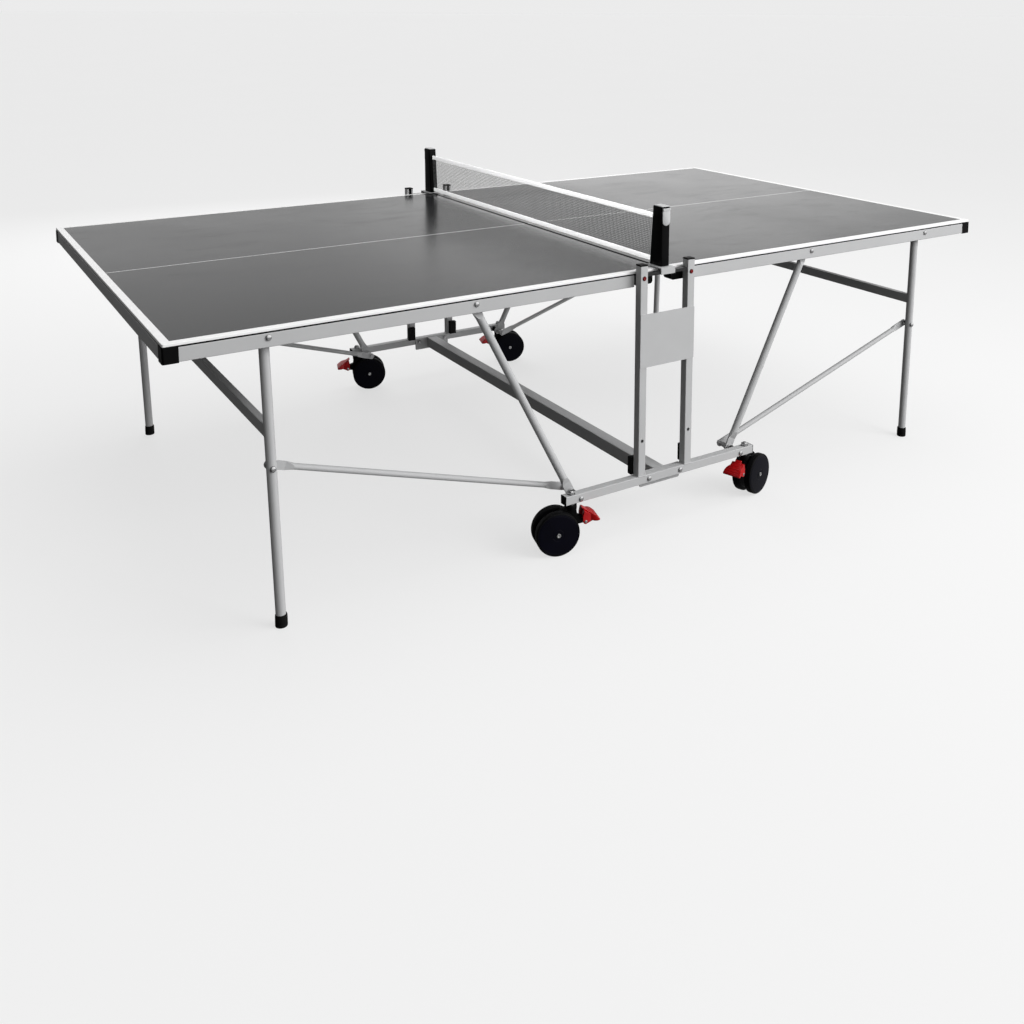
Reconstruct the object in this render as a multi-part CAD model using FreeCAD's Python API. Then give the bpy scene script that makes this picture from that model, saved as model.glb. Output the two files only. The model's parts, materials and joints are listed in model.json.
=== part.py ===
import FreeCAD
import Part
import math
import os

# A folding ping pong table on a wheeled centre carriage, in millimetres.
# X runs along the table, Y across it, Z up; the origin is on the floor under the net.
# Every shape is drawn in the quadrant with X > 0 and Y > 0 and mirrored where it repeats.

# Playing surface
HALF_LENGTH = 1370.0
HALF_WIDTH = 762.5
TOP_HEIGHT = 760.0
BOARD_THICKNESS = 8.0
BOARD_INNER_X = 5.0
BOARD_CORNER_RADIUS = 4.0
BOARD_CHAMFER = 0.8

# Frame under each board
STRIP_THICKNESS = 3.0
STRIP_INSET = 1.5
STRIP_WIDTH = 12.0
APRON_THICKNESS = 15.0
APRON_HEIGHT = 34.0
APRON_WALL = 1.5
APRON_ROUND = 2.0
APRON_INNER_X = 97.0
RIB_WIDTH = 20.0
RIB_HEIGHT = 20.0
RIB_POSITIONS = (140.0, 480.0, 860.0)
CAP_LENGTH = 36.0
CAP_PROUD = 1.2
CAP_SKIRT = 1.5
CAP_RADIUS = 5.0
CAP_GAP = 0.3

# Hinge blocks at the net end of each half
BLOCK_INNER_X = 33.0
BLOCK_DEPTH = 34.0
BLOCK_BOTTOM = 718.0
BLOCK_RADIUS = 9.0

# Posts, shoes and lock buttons
POST_X = 84.0
POST_SIZE = 25.0
POST_WALL = 2.0
POST_INNER_Y = 768.0
POST_TOP = 779.0
POST_CAP_HEIGHT = 4.0
POST_CAP_ROUND = 1.5
POST_PLUG_DEPTH = 8.0
SLOT_WIDTH = 11.6
SLOT_BOTTOM = 250.0
PIVOT_Z = 744.0
STORED_PIVOT_Z = 267.6
SHOE_WIDTH = 20.2
SHOE_DEPTH = 18.0
SHOE_HEIGHT = 40.0
SHOE_INSET = 0.4
SHOE_CHAMFER = 1.0
SHOE_PIN_RADIUS = 5.0
SHOE_PIN_END_Y = 732.0
RECESS_RADIUS = 7.2
RECESS_DEPTH = 5.0
BUTTON_RADIUS = 5.0
BUTTON_FLANGE_RADIUS = 6.5
BUTTON_FLANGE = 1.6
BUTTON_PROUD = 3.4
BUTTON_ROUND = 1.2
BUTTON_GAP = 0.2
RUNNING_FIT = 0.06
LOOSE_FIT = 0.5

# Carriage
TUBE_ROUND = 1.8
RAIL_HALF_LENGTH = 341.0
RAIL_SIZE = 25.0
RAIL_WALL = 2.0
RAIL_BOTTOM = 137.0
PLUG_FLANGE = 2.5
PLUG_DEPTH = 18.0
PLUG_ROUND = 1.2
BEAM_SIZE = 40.0
BEAM_WALL = 2.0
BEAM_ROUND = 3.0
BEAM_DROP = 1.0
FLANGE_HALF_WIDTH = 72.0
FLANGE_BOTTOM = 116.0
FLANGE_THICKNESS = 4.0
FLANGE_ROUND = 4.0
FLANGE_BOLT_X = 57.0
RAIL_BOLT_Z = 149.5
PLATE_BOTTOM = 485.0
PLATE_HEIGHT = 155.0
PLATE_THICKNESS = 2.0
PLATE_RADIUS = 4.0
BUFFER_INNER_X = 79.0
BUFFER_OUTER_X = 104.0
BUFFER_DEPTH = 17.0
BUFFER_HEIGHT = 52.0
BUFFER_RADIUS = 3.0

# Pivots of the folding links
LINK_X = 292.0
LINK_Z = 147.0
BRACE_X = 597.0
BRACE_Z = 738.0
LEG_X = 1136.0
LEG_Z = 738.0
FOOT_X = 1116.0
ROD_BOLT_DISTANCE = 331.5

# Legs
LEG_Y = 720.0
LEG_RADIUS = 12.5
LEG_WALL = 1.5
CROSSBAR_DISTANCE = 241.0
CROSSBAR_WIDTH = 20.0
CROSSBAR_HEIGHT = 30.0
CROSSBAR_ROUND = 2.0
FOOT_CAP_RADIUS = 15.2
FOOT_CAP_HEIGHT = 32.0
FOOT_CAP_BASE = 4.0
FOOT_CAP_ROUND = 2.5
FOOT_GROOVE_DEPTH = 1.0
FOOT_GROOVE_BOTTOM = 9.0
FOOT_GROOVE_WIDTH = 2.0

# Braces and strut rods
BRACE_Y = 735.0
BRACE_RADIUS = 11.0
BRACE_TAB_WIDTH = 26.0
BRACE_TAB_THICKNESS = 5.0
BRACE_TAB_LENGTH = 30.0
BRACE_BOSS_OUTER_Y = 747.0
BRACE_BOSS_INNER_Y = 724.0
ROD_Y = 697.0
ROD_RADIUS = 8.0
ROD_TAB_WIDTH = 22.0
ROD_TAB_THICKNESS = 4.0
ROD_TAB_LENGTH = 42.0
NECK_LENGTH = 22.0
TUBE_WALL = 1.5
END_NUT_RADIUS = 7.5
END_NUT_HEIGHT = 6.0

# Bolts
BOLT_RADIUS = 4.0
HEAD_RADIUS = 8.0
HEAD_HEIGHT = 4.5
HEAD_ROUND = 4.2
NUT_ACROSS = 13.0
NUT_HEIGHT = 6.5
WASHER_RADIUS = 9.0
SPACER_RADIUS = 10.0
SPACER_ROUND = 1.0
SIDE_GAP = 0.5
PIVOT_GAP = 1.0

# Net
NET_POST_HALF_X = 15.0
NET_POST_OUTER_Y = 778.0
NET_POST_INNER_LOW_Y = 722.0
NET_POST_INNER_HIGH_Y = 735.0
NET_POST_BOTTOM = 766.0
NET_POST_TOP = 938.0
NET_POST_EDGE = 3.0
NET_TOP = 912.5
NET_BOTTOM = 770.0
TAPE_WIDTH = 15.0
TAPE_THICKNESS = 1.0
MESH_THICKNESS = 1.0
BRACKET_HALF_X = 25.0
BRACKET_THICKNESS = 3.0
BRACKET_DROP = 19.0
BAR_BOTTOM = 748.0
BAR_HEIGHT = 9.0
BAR_DEPTH = 14.0
CLIP_HALF_X = 13.0
CLIP_BOTTOM = 884.0
CLIP_TOP = 934.0
CLIP_THICKNESS = 3.0
NET_POST_COVER = 2.5
NET_POST_COVER_INSET = 1.0

# Casters: position, and the direction of the trail at rest in degrees
STEM_X = 318.0
STEM_Y = 780.5
CASTER_REST = (
    ("left_near", -1, -1, 165.0),
    ("right_near", 1, -1, 18.0),
    ("left_far", -1, 1, -18.0),
    ("right_far", 1, 1, -16.0),
)
STEM_RADIUS = 6.0
STEM_BOTTOM = 103.0
STEM_NUT_ACROSS = 18.0
STEM_NUT_HEIGHT = 9.0
STEM_TIP = 3.0
BEARING_RADIUS = 12.0
BEARING_BOTTOM = 134.0
WHEEL_RADIUS = 62.5
WHEEL_INNER_Y = 10.0
WHEEL_OUTER_Y = 32.5
WHEEL_FACE_RADIUS = 20.0
# Each rim point: how far inside the tread, and its distance from the middle plane.
WHEEL_RIM = (
    (2.5, 10.0),
    (0.0, 12.5),
    (0.0, 26.5),
    (2.0, 30.0),
    (8.0, 32.0),
)
TRAIL = 45.0
CORE_HALF_WIDTH = 9.0
CORE_RADIUS = 24.0
HUB_RADIUS = 16.0
HUB_BOTTOM = 121.0
HUB_TOP = 133.5
AXLE_RADIUS = 5.0
AXLE_HEAD_RADIUS = 6.5
AXLE_HEAD = 1.8
AXLE_END_GAP = 1.0
LEVER_PIN_X = -37.0
LEVER_PIN_Z = 86.0
LEVER_PIN_RADIUS = 3.0
LEVER_BOSS_RADIUS = 8.0
LEVER_HALF_WIDTH = 22.0
PEDAL_HALF_WIDTH = 30.0
PEDAL_START_X = -48.0
HOUSING_OUTLINE = (
    (-13.0, HUB_TOP),
    (13.0, HUB_TOP),
    (42.0, 112.0),
    (TRAIL + CORE_RADIUS, WHEEL_RADIUS),
    (TRAIL, WHEEL_RADIUS - CORE_RADIUS),
    (TRAIL - CORE_RADIUS, WHEEL_RADIUS),
    (0.0, 78.0),
    (LEVER_PIN_X, LEVER_PIN_Z - LEVER_BOSS_RADIUS),
    (LEVER_PIN_X, LEVER_PIN_Z + LEVER_BOSS_RADIUS),
    (-13.0, 104.0),
)
LEVER_OUTLINE = (
    (-26.0, 122.0),
    (-33.0, 126.0),
    (-45.0, 114.0),
    (-60.0, 107.0),
    (-77.0, 93.0),
    (-74.0, 87.0),
    (-54.0, 85.0),
    (-41.0, 77.0),
    (-31.0, 79.0),
    (-27.0, 92.0),
)

X_AXIS = FreeCAD.Vector(1, 0, 0)
Y_AXIS = FreeCAD.Vector(0, 1, 0)
Z_AXIS = FreeCAD.Vector(0, 0, 1)
ORIGIN = FreeCAD.Vector(0, 0, 0)

SIDES = (("left", -1), ("right", 1))

# How far a cutting solid runs past the face that it opens, and the slack in a comparison.
OVERCUT = 1.0
TINY = 1e-6


def vec(x, y, z):
    return FreeCAD.Vector(x, y, z)


def box(x0, x1, y0, y1, z0, z1):
    return Part.makeBox(x1 - x0, y1 - y0, z1 - z0, vec(x0, y0, z0))


def cylinder_y(x, z, y0, y1, radius):
    return Part.makeCylinder(radius, y1 - y0, vec(x, y0, z), Y_AXIS)


def cylinder_z(x, y, z0, z1, radius):
    return Part.makeCylinder(radius, z1 - z0, vec(x, y, z0), Z_AXIS)


def hexagon_y(x, z, y0, y1, across):
    radius = across / math.sqrt(3)
    points = []
    for k in range(7):
        angle = math.radians(60 * k)
        points.append(vec(x + radius * math.cos(angle), y0, z + radius * math.sin(angle)))
    return Part.Face(Part.makePolygon(points)).extrude(vec(0, y1 - y0, 0))


def hexagon_z(x, y, z0, z1, across):
    radius = across / math.sqrt(3)
    points = []
    for k in range(7):
        angle = math.radians(60 * k)
        points.append(vec(x + radius * math.cos(angle), y + radius * math.sin(angle), z0))
    return Part.Face(Part.makePolygon(points)).extrude(vec(0, 0, z1 - z0))


def outline_xz(points, y0, y1):
    corners = [vec(x, y0, z) for x, z in points]
    corners.append(corners[0])
    return Part.Face(Part.makePolygon(corners)).extrude(vec(0, y1 - y0, 0))


def mirrored(shape, side_x, side_y):
    if side_x < 0:
        shape = shape.mirror(ORIGIN, X_AXIS)
    if side_y < 0:
        shape = shape.mirror(ORIGIN, Y_AXIS)
    return shape


def near_and_far(shape):
    return [mirrored(shape, 1, 1), mirrored(shape, 1, -1)]


def four_corners(shape):
    return [mirrored(shape, sx, sy) for sx in (1, -1) for sy in (1, -1)]


def fillet_edges(shape, radius, wanted):
    edges = [edge for edge in shape.Edges if wanted(edge)]
    return shape.makeFillet(radius, edges)


def runs_along(edge, axis):
    line = edge.Vertexes[-1].Point.sub(edge.Vertexes[0].Point)
    return line.Length > TINY and abs(line.normalize().dot(axis)) > 1 - TINY


def is_circle(edge):
    return edge.Curve.TypeId == "Part::GeomCircle"


def tube(low, high, axis, wall, radius):
    """A rectangular tube between two corners, rounded and open along the given axis."""
    solid = box(low.x, high.x, low.y, high.y, low.z, high.z)
    solid = fillet_edges(solid, radius, lambda edge: runs_along(edge, axis))
    across = vec(1, 1, 1).sub(axis).multiply(wall)
    past = vec(axis.x, axis.y, axis.z).multiply(OVERCUT)
    inner_low = low.add(across).sub(past)
    inner_high = high.sub(across).add(past)
    return solid.cut(box(inner_low.x, inner_high.x, inner_low.y, inner_high.y, inner_low.z, inner_high.z))


def hole_y(x, z, y0, y1, radius):
    return cylinder_y(x, z, y0 - OVERCUT, y1 + OVERCUT, radius)


def save(node, shapes):
    Part.makeCompound(shapes).exportStep("parts/" + node + ".step")


def save_side(node, side, side_x, shapes):
    placed = [mirrored(shape, side_x, 1) for shape in shapes]
    save(node + "_" + side, placed)


def domed_bolt(x, z, head_y, end_y):
    """A bolt along Y with a domed head outside head_y and a shank that ends at end_y."""
    crown_y = head_y + HEAD_HEIGHT
    head = cylinder_y(x, z, head_y, crown_y, HEAD_RADIUS)
    head = fillet_edges(head, HEAD_ROUND, lambda edge: edge.BoundBox.YMin > crown_y - TINY)
    return head.fuse(cylinder_y(x, z, end_y, head_y + HEAD_HEIGHT / 2, BOLT_RADIUS))


# ---------------------------------------------------------------- table halves

def board():
    low = TOP_HEIGHT - BOARD_THICKNESS
    slab = box(BOARD_INNER_X, HALF_LENGTH, -HALF_WIDTH, HALF_WIDTH, low, TOP_HEIGHT)
    slab = fillet_edges(
        slab, BOARD_CORNER_RADIUS,
        lambda edge: runs_along(edge, Z_AXIS) and edge.BoundBox.XMin > HALF_LENGTH - TINY,
    )
    rim = [edge for edge in slab.Edges if edge.BoundBox.ZMin > TOP_HEIGHT - TINY]
    return slab.makeChamfer(BOARD_CHAMFER, rim)


def strip_heights():
    high = TOP_HEIGHT - BOARD_THICKNESS
    return high - STRIP_THICKNESS, high


def strip_under_board():
    outer_x = HALF_LENGTH - STRIP_INSET
    outer_y = HALF_WIDTH - STRIP_INSET
    inner_y = outer_y - STRIP_WIDTH
    low, high = strip_heights()
    sheet = box(APRON_INNER_X, outer_x, -outer_y, outer_y, low, high)
    middle = box(
        APRON_INNER_X - OVERCUT, outer_x - STRIP_WIDTH, -inner_y, inner_y, low - OVERCUT, high + OVERCUT
    )
    return sheet.cut(middle)


def apron_heights():
    high = TOP_HEIGHT - BOARD_THICKNESS - STRIP_THICKNESS
    return high - APRON_HEIGHT, high


def side_rail():
    low, high = apron_heights()
    inner_y = HALF_WIDTH - APRON_THICKNESS
    end_x = HALF_LENGTH - APRON_THICKNESS - LOOSE_FIT
    rail_tube = tube(
        vec(APRON_INNER_X, inner_y, low), vec(end_x, HALF_WIDTH, high), X_AXIS, APRON_WALL, APRON_ROUND
    )
    for x, z in ((BRACE_X, BRACE_Z), (LEG_X, LEG_Z)):
        rail_tube = rail_tube.cut(hole_y(x, z, inner_y, HALF_WIDTH, BOLT_RADIUS))
    return rail_tube


def cross_rails():
    low, high = apron_heights()
    end_y = HALF_WIDTH - CAP_LENGTH / 2
    inner_x = HALF_LENGTH - APRON_THICKNESS
    near, far = vec(inner_x, -end_y, low), vec(HALF_LENGTH, end_y, high)
    rails = [tube(near, far, Y_AXIS, APRON_WALL, APRON_ROUND)]
    rib_y = HALF_WIDTH - APRON_THICKNESS - LOOSE_FIT
    rib_top = TOP_HEIGHT - BOARD_THICKNESS
    for x in RIB_POSITIONS:
        corner = vec(x, -rib_y, rib_top - RIB_HEIGHT)
        rails.append(tube(corner, vec(x + RIB_WIDTH, rib_y, rib_top), Y_AXIS, APRON_WALL, APRON_WALL))
    return rails


def corner_cap():
    low, high = apron_heights()
    outer_x = HALF_LENGTH + CAP_PROUD
    outer_y = HALF_WIDTH + CAP_PROUD
    inner_x = HALF_LENGTH - APRON_THICKNESS
    inner_y = HALF_WIDTH - APRON_THICKNESS
    start_x = outer_x - CAP_LENGTH
    start_y = outer_y - CAP_LENGTH
    bottom = low - CAP_SKIRT
    top = high + STRIP_THICKNESS - CAP_GAP
    cap = box(start_x, outer_x, start_y, outer_y, bottom, top)
    cap = fillet_edges(
        cap, CAP_RADIUS,
        lambda edge: runs_along(edge, Z_AXIS)
        and edge.BoundBox.XMin > outer_x - TINY and edge.BoundBox.YMin > outer_y - TINY,
    )
    under = bottom - OVERCUT
    inside = box(start_x - OVERCUT, inner_x, start_y - OVERCUT, inner_y, under, top + OVERCUT)
    side_seat = box(start_x - OVERCUT, inner_x - LOOSE_FIT, inner_y, HALF_WIDTH, low, high)
    end_seat = box(inner_x, HALF_LENGTH, start_y - OVERCUT, HALF_WIDTH - CAP_LENGTH / 2, low, high)
    strip_seat = box(0, HALF_LENGTH - STRIP_INSET, 0, HALF_WIDTH - STRIP_INSET, high, top + OVERCUT)
    return cap.cut(inside).cut(side_seat).cut(end_seat).cut(strip_seat)


def hinge_block():
    top = TOP_HEIGHT - BOARD_THICKNESS
    outer_x = APRON_INNER_X - LOOSE_FIT
    block = box(BLOCK_INNER_X, outer_x, HALF_WIDTH - BLOCK_DEPTH, HALF_WIDTH, BLOCK_BOTTOM, top)
    block = fillet_edges(
        block, BLOCK_RADIUS,
        lambda edge: runs_along(edge, Y_AXIS) and edge.BoundBox.ZMax < BLOCK_BOTTOM + TINY,
    )
    blind_end = SHOE_PIN_END_Y - LOOSE_FIT
    socket = cylinder_y(POST_X, PIVOT_Z, blind_end, HALF_WIDTH + OVERCUT, SHOE_PIN_RADIUS + RUNNING_FIT)
    return block.cut(socket)


def brace_bolt():
    end_y = BRACE_Y - BRACE_TAB_THICKNESS / 2 - SIDE_GAP
    bolt = domed_bolt(BRACE_X, BRACE_Z, HALF_WIDTH, end_y)
    nut = hexagon_y(BRACE_X, BRACE_Z, end_y - NUT_HEIGHT, end_y, NUT_ACROSS)
    return bolt.fuse(nut)


def leg_bolt():
    end_y = LEG_Y - LEG_RADIUS - SIDE_GAP
    bolt = domed_bolt(LEG_X, LEG_Z, HALF_WIDTH, end_y)
    nut = hexagon_y(LEG_X, LEG_Z, end_y - NUT_HEIGHT, end_y, NUT_ACROSS)
    return bolt.fuse(nut)


def apron_spacer(x, z, inner_y):
    outer_y = HALF_WIDTH - APRON_THICKNESS
    ring = cylinder_y(x, z, inner_y, outer_y, WASHER_RADIUS)
    return ring.cut(hole_y(x, z, inner_y, outer_y, BOLT_RADIUS))


def save_half(side, side_x):
    save_side("top_board", side, side_x, [board()])
    save_side("edge_strip", side, side_x, [strip_under_board()])
    save_side("side_rails", side, side_x, near_and_far(side_rail()))
    save_side("cross_rails", side, side_x, cross_rails())
    save_side("corner_caps", side, side_x, near_and_far(corner_cap()))
    save_side("hinge_blocks", side, side_x, near_and_far(hinge_block()))
    leg_ring = apron_spacer(LEG_X, LEG_Z, LEG_Y + LEG_RADIUS + SIDE_GAP)
    brace_ring = apron_spacer(BRACE_X, BRACE_Z, BRACE_Y + BRACE_TAB_THICKNESS / 2 + SIDE_GAP)
    fixings = []
    for piece in (leg_bolt(), brace_bolt(), leg_ring, brace_ring):
        fixings.extend(near_and_far(piece))
    save_side("frame_bolts", side, side_x, fixings)


# ---------------------------------------------------------------- leg frames

def leg_direction():
    return vec(FOOT_X - LEG_X, 0, -LEG_Z).normalize()


def along_leg(distance, y):
    step = leg_direction().multiply(distance)
    return vec(LEG_X + step.x, y, LEG_Z + step.z)


def leg_length():
    return vec(FOOT_X - LEG_X, 0, -LEG_Z).Length


def leg_rod(radius, start, end):
    origin = along_leg(start, LEG_Y)
    return Part.makeCylinder(radius, end - start, origin, leg_direction())


def leg_tube():
    end = leg_length() - FOOT_CAP_BASE
    inner = LEG_RADIUS - LEG_WALL
    outside = leg_rod(LEG_RADIUS, 0, end).fuse(Part.makeSphere(LEG_RADIUS, along_leg(0, LEG_Y)))
    inside = leg_rod(inner, 0, end + OVERCUT).fuse(Part.makeSphere(inner, along_leg(0, LEG_Y)))
    low, high = LEG_Y - LEG_RADIUS, LEG_Y + LEG_RADIUS
    pivot_hole = hole_y(LEG_X, LEG_Z, low, high, BOLT_RADIUS + RUNNING_FIT)
    bolt = along_leg(ROD_BOLT_DISTANCE, LEG_Y)
    rod_hole = hole_y(bolt.x, bolt.z, low, high, BOLT_RADIUS)
    room = box(0, HALF_LENGTH, 0, HALF_WIDTH, FOOT_CAP_BASE, TOP_HEIGHT)
    return outside.cut(inside).cut(pivot_hole).cut(rod_hole).common(room)


def leg_crossbar():
    centre = along_leg(CROSSBAR_DISTANCE, 0)
    reach = vec(CROSSBAR_WIDTH / 2, LEG_Y, CROSSBAR_HEIGHT / 2)
    bar = tube(centre.sub(reach), centre.add(reach), Y_AXIS, TUBE_WALL, CROSSBAR_ROUND)
    for leg in near_and_far(leg_rod(LEG_RADIUS, 0, leg_length())):
        bar = bar.cut(leg)
    return max(bar.Solids, key=lambda solid: solid.Volume)


def foot_cap():
    cap = cylinder_z(FOOT_X, LEG_Y, 0, FOOT_CAP_HEIGHT, FOOT_CAP_RADIUS)
    cap = fillet_edges(cap, FOOT_CAP_ROUND, is_circle)
    groove_top = FOOT_GROOVE_BOTTOM + FOOT_GROOVE_WIDTH
    groove = cylinder_z(FOOT_X, LEG_Y, FOOT_GROOVE_BOTTOM, groove_top, FOOT_CAP_RADIUS + OVERCUT)
    floor = cylinder_z(FOOT_X, LEG_Y, FOOT_GROOVE_BOTTOM, groove_top, FOOT_CAP_RADIUS - FOOT_GROOVE_DEPTH)
    leg = leg_rod(LEG_RADIUS, 0, leg_length() + 2 * FOOT_CAP_BASE)
    bore = leg.common(box(0, HALF_LENGTH, 0, HALF_WIDTH, FOOT_CAP_BASE, TOP_HEIGHT))
    return cap.cut(groove.cut(floor)).cut(bore)


def rod_bolt():
    at = along_leg(ROD_BOLT_DISTANCE, LEG_Y)
    head_y = LEG_Y + LEG_RADIUS
    end_y = ROD_Y - ROD_TAB_THICKNESS / 2 - SIDE_GAP
    bolt = domed_bolt(at.x, at.z, head_y, end_y)
    nut = hexagon_y(at.x, at.z, end_y - NUT_HEIGHT, end_y, NUT_ACROSS)
    return bolt.fuse(nut)


def rod_washer():
    at = along_leg(ROD_BOLT_DISTANCE, LEG_Y)
    low = ROD_Y + ROD_TAB_THICKNESS / 2 + SIDE_GAP
    high = LEG_Y - LEG_RADIUS + LEG_WALL
    ring = cylinder_y(at.x, at.z, low, high, WASHER_RADIUS)
    ring = ring.cut(leg_rod(LEG_RADIUS, 0, leg_length()))
    ring = ring.cut(hole_y(at.x, at.z, low, high, BOLT_RADIUS))
    return max(ring.Solids, key=lambda solid: solid.Volume)


def save_leg_frame(side, side_x):
    save_side("leg_tubes", side, side_x, near_and_far(leg_tube()))
    save_side("leg_crossbar", side, side_x, [leg_crossbar()])
    save_side("foot_caps", side, side_x, near_and_far(foot_cap()))
    save_side("leg_bolts", side, side_x, near_and_far(rod_bolt()) + near_and_far(rod_washer()))


# ---------------------------------------------------------------- braces and rods

def neck(near, far, radius, tab_width, tab_thickness):
    """The stretch where a tube along X goes from its flat tab at near to its full round at far."""
    low, high = min(near, far), max(near, far)
    tab_half, thick = tab_width / 2, tab_thickness / 2
    low_radius, high_radius = (tab_half, radius) if near < far else (radius, tab_half)
    low_thick, high_thick = (thick, radius) if near < far else (radius, thick)
    cone = Part.makeCone(low_radius, high_radius, high - low, vec(low, 0, 0), X_AXIS)
    corners = [
        vec(low, -low_thick, -tab_width),
        vec(high, -high_thick, -tab_width),
        vec(high, high_thick, -tab_width),
        vec(low, low_thick, -tab_width),
    ]
    corners.append(corners[0])
    wedge = Part.Face(Part.makePolygon(corners)).extrude(vec(0, 0, 2 * tab_width))
    return cone.common(wedge)


def flattened_tube(length, radius, tab_width, tab_thickness, tab_length):
    """A tube along X from 0 to length with flattened ends; its pivots are at both ends."""
    start = tab_length + NECK_LENGTH
    body = Part.makeCylinder(radius, length - 2 * start, vec(start, 0, 0), X_AXIS)
    hollow = length - 2 * start - 2 * TUBE_WALL
    bore = Part.makeCylinder(radius - TUBE_WALL, hollow, vec(start + TUBE_WALL, 0, 0), X_AXIS)
    half, thick = tab_width / 2, tab_thickness / 2
    pieces = []
    ends = ((tab_length, 0, start), (length - tab_length, length, length - start))
    for tab_end, pivot, tube_end in ends:
        pieces.append(neck(tab_end, tube_end, radius, tab_width, tab_thickness))
        low = min(tab_end, pivot)
        pieces.append(Part.makeBox(tab_length, tab_thickness, tab_width, vec(low, -thick, -half)))
        pieces.append(Part.makeCylinder(half, tab_thickness, vec(pivot, -thick, 0), Y_AXIS))
    return body.fuse(pieces).cut(bore).removeSplitter()


def placed_link(shape, start, end):
    """Moves a link drawn along X so that it runs from start to end in a plane of constant Y."""
    angle = math.degrees(math.atan2(end.z - start.z, end.x - start.x))
    shape.rotate(ORIGIN, Y_AXIS, -angle)
    shape.translate(start)
    return shape


def link_tab_hole(pivot, tab_thickness):
    half = tab_thickness / 2
    return hole_y(pivot.x, pivot.z, pivot.y - half, pivot.y + half, BOLT_RADIUS + RUNNING_FIT)


def brace():
    start = vec(LINK_X, BRACE_Y, LINK_Z)
    end = vec(BRACE_X, BRACE_Y, BRACE_Z)
    length = end.sub(start).Length
    link = flattened_tube(length, BRACE_RADIUS, BRACE_TAB_WIDTH, BRACE_TAB_THICKNESS, BRACE_TAB_LENGTH)
    link = placed_link(link, start, end)
    boss = cylinder_y(LINK_X, LINK_Z, BRACE_BOSS_INNER_Y, BRACE_BOSS_OUTER_Y, SPACER_RADIUS)
    return link.fuse(boss).cut(link_tab_hole(end, BRACE_TAB_THICKNESS))


def strut_rod():
    start = vec(LINK_X, ROD_Y, LINK_Z)
    end = along_leg(ROD_BOLT_DISTANCE, ROD_Y)
    length = end.sub(start).Length
    link = flattened_tube(length, ROD_RADIUS, ROD_TAB_WIDTH, ROD_TAB_THICKNESS, ROD_TAB_LENGTH)
    link = placed_link(link, start, end)
    boss = cylinder_y(LINK_X, LINK_Z, ROD_Y, BRACE_BOSS_INNER_Y - PIVOT_GAP, END_NUT_RADIUS)
    tip_y = ROD_Y - ROD_TAB_THICKNESS / 2 - END_NUT_HEIGHT
    nut = hexagon_y(LINK_X, LINK_Z, tip_y, ROD_Y, NUT_ACROSS)
    return link.fuse([boss, nut]).cut(link_tab_hole(end, ROD_TAB_THICKNESS))


# ---------------------------------------------------------------- slide shoes and lock buttons

def slide_shoe():
    inner_y = POST_INNER_Y + POST_WALL + SHOE_INSET
    outer_y = inner_y + SHOE_DEPTH
    half, reach = SHOE_WIDTH / 2, SHOE_HEIGHT / 2
    shoe = box(POST_X - half, POST_X + half, inner_y, outer_y, PIVOT_Z - reach, PIVOT_Z + reach)
    shoe = shoe.makeChamfer(SHOE_CHAMFER, shoe.Edges)
    recess = cylinder_y(POST_X, PIVOT_Z, outer_y - RECESS_DEPTH, outer_y + OVERCUT, RECESS_RADIUS)
    pin = cylinder_y(POST_X, PIVOT_Z, SHOE_PIN_END_Y, inner_y + 2 * SHOE_CHAMFER, SHOE_PIN_RADIUS)
    return shoe.cut(recess).fuse(pin)


def lock_button():
    flange_outer = POST_INNER_Y + POST_SIZE - POST_WALL - BUTTON_GAP
    flange_inner = flange_outer - BUTTON_FLANGE
    tip = POST_INNER_Y + POST_SIZE + BUTTON_PROUD
    button = cylinder_y(POST_X, PIVOT_Z, flange_inner, tip, BUTTON_RADIUS)
    button = fillet_edges(button, BUTTON_ROUND, lambda edge: edge.BoundBox.YMin > tip - TINY)
    return button.fuse(cylinder_y(POST_X, PIVOT_Z, flange_inner, flange_outer, BUTTON_FLANGE_RADIUS))


# ---------------------------------------------------------------- carriage

def rail_top():
    return RAIL_BOTTOM + RAIL_SIZE


def rail():
    inner_y, outer_y = POST_INNER_Y, POST_INNER_Y + RAIL_SIZE
    low, high = RAIL_BOTTOM, rail_top()
    end = RAIL_HALF_LENGTH
    beam = tube(vec(-end, inner_y, low), vec(end, outer_y, high), X_AXIS, RAIL_WALL, TUBE_ROUND)
    for side_x in (-1, 1):
        link_hole = hole_y(side_x * LINK_X, LINK_Z, inner_y, outer_y, BOLT_RADIUS)
        flange_hole = hole_y(side_x * FLANGE_BOLT_X, RAIL_BOLT_Z, inner_y, outer_y, BOLT_RADIUS)
        stem_hole = cylinder_z(side_x * STEM_X, STEM_Y, low - OVERCUT, high + OVERCUT, STEM_RADIUS)
        beam = beam.cut(link_hole).cut(flange_hole).cut(stem_hole)
    return beam


def guide_post():
    half = POST_SIZE / 2
    inner_y, outer_y = POST_INNER_Y, POST_INNER_Y + POST_SIZE
    low, high = rail_top(), POST_TOP
    corner = vec(POST_X - half, inner_y, low)
    post = tube(corner, vec(POST_X + half, outer_y, high), Z_AXIS, POST_WALL, TUBE_ROUND)
    slot = box(
        POST_X - SLOT_WIDTH / 2, POST_X + SLOT_WIDTH / 2, inner_y - OVERCUT, inner_y + POST_WALL + OVERCUT,
        SLOT_BOTTOM, high + OVERCUT,
    )
    post = post.cut(slot)
    for z in (PIVOT_Z, STORED_PIVOT_Z):
        post = post.cut(hole_y(POST_X, z, outer_y - POST_WALL, outer_y, BUTTON_RADIUS + RUNNING_FIT))
    return post


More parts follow.
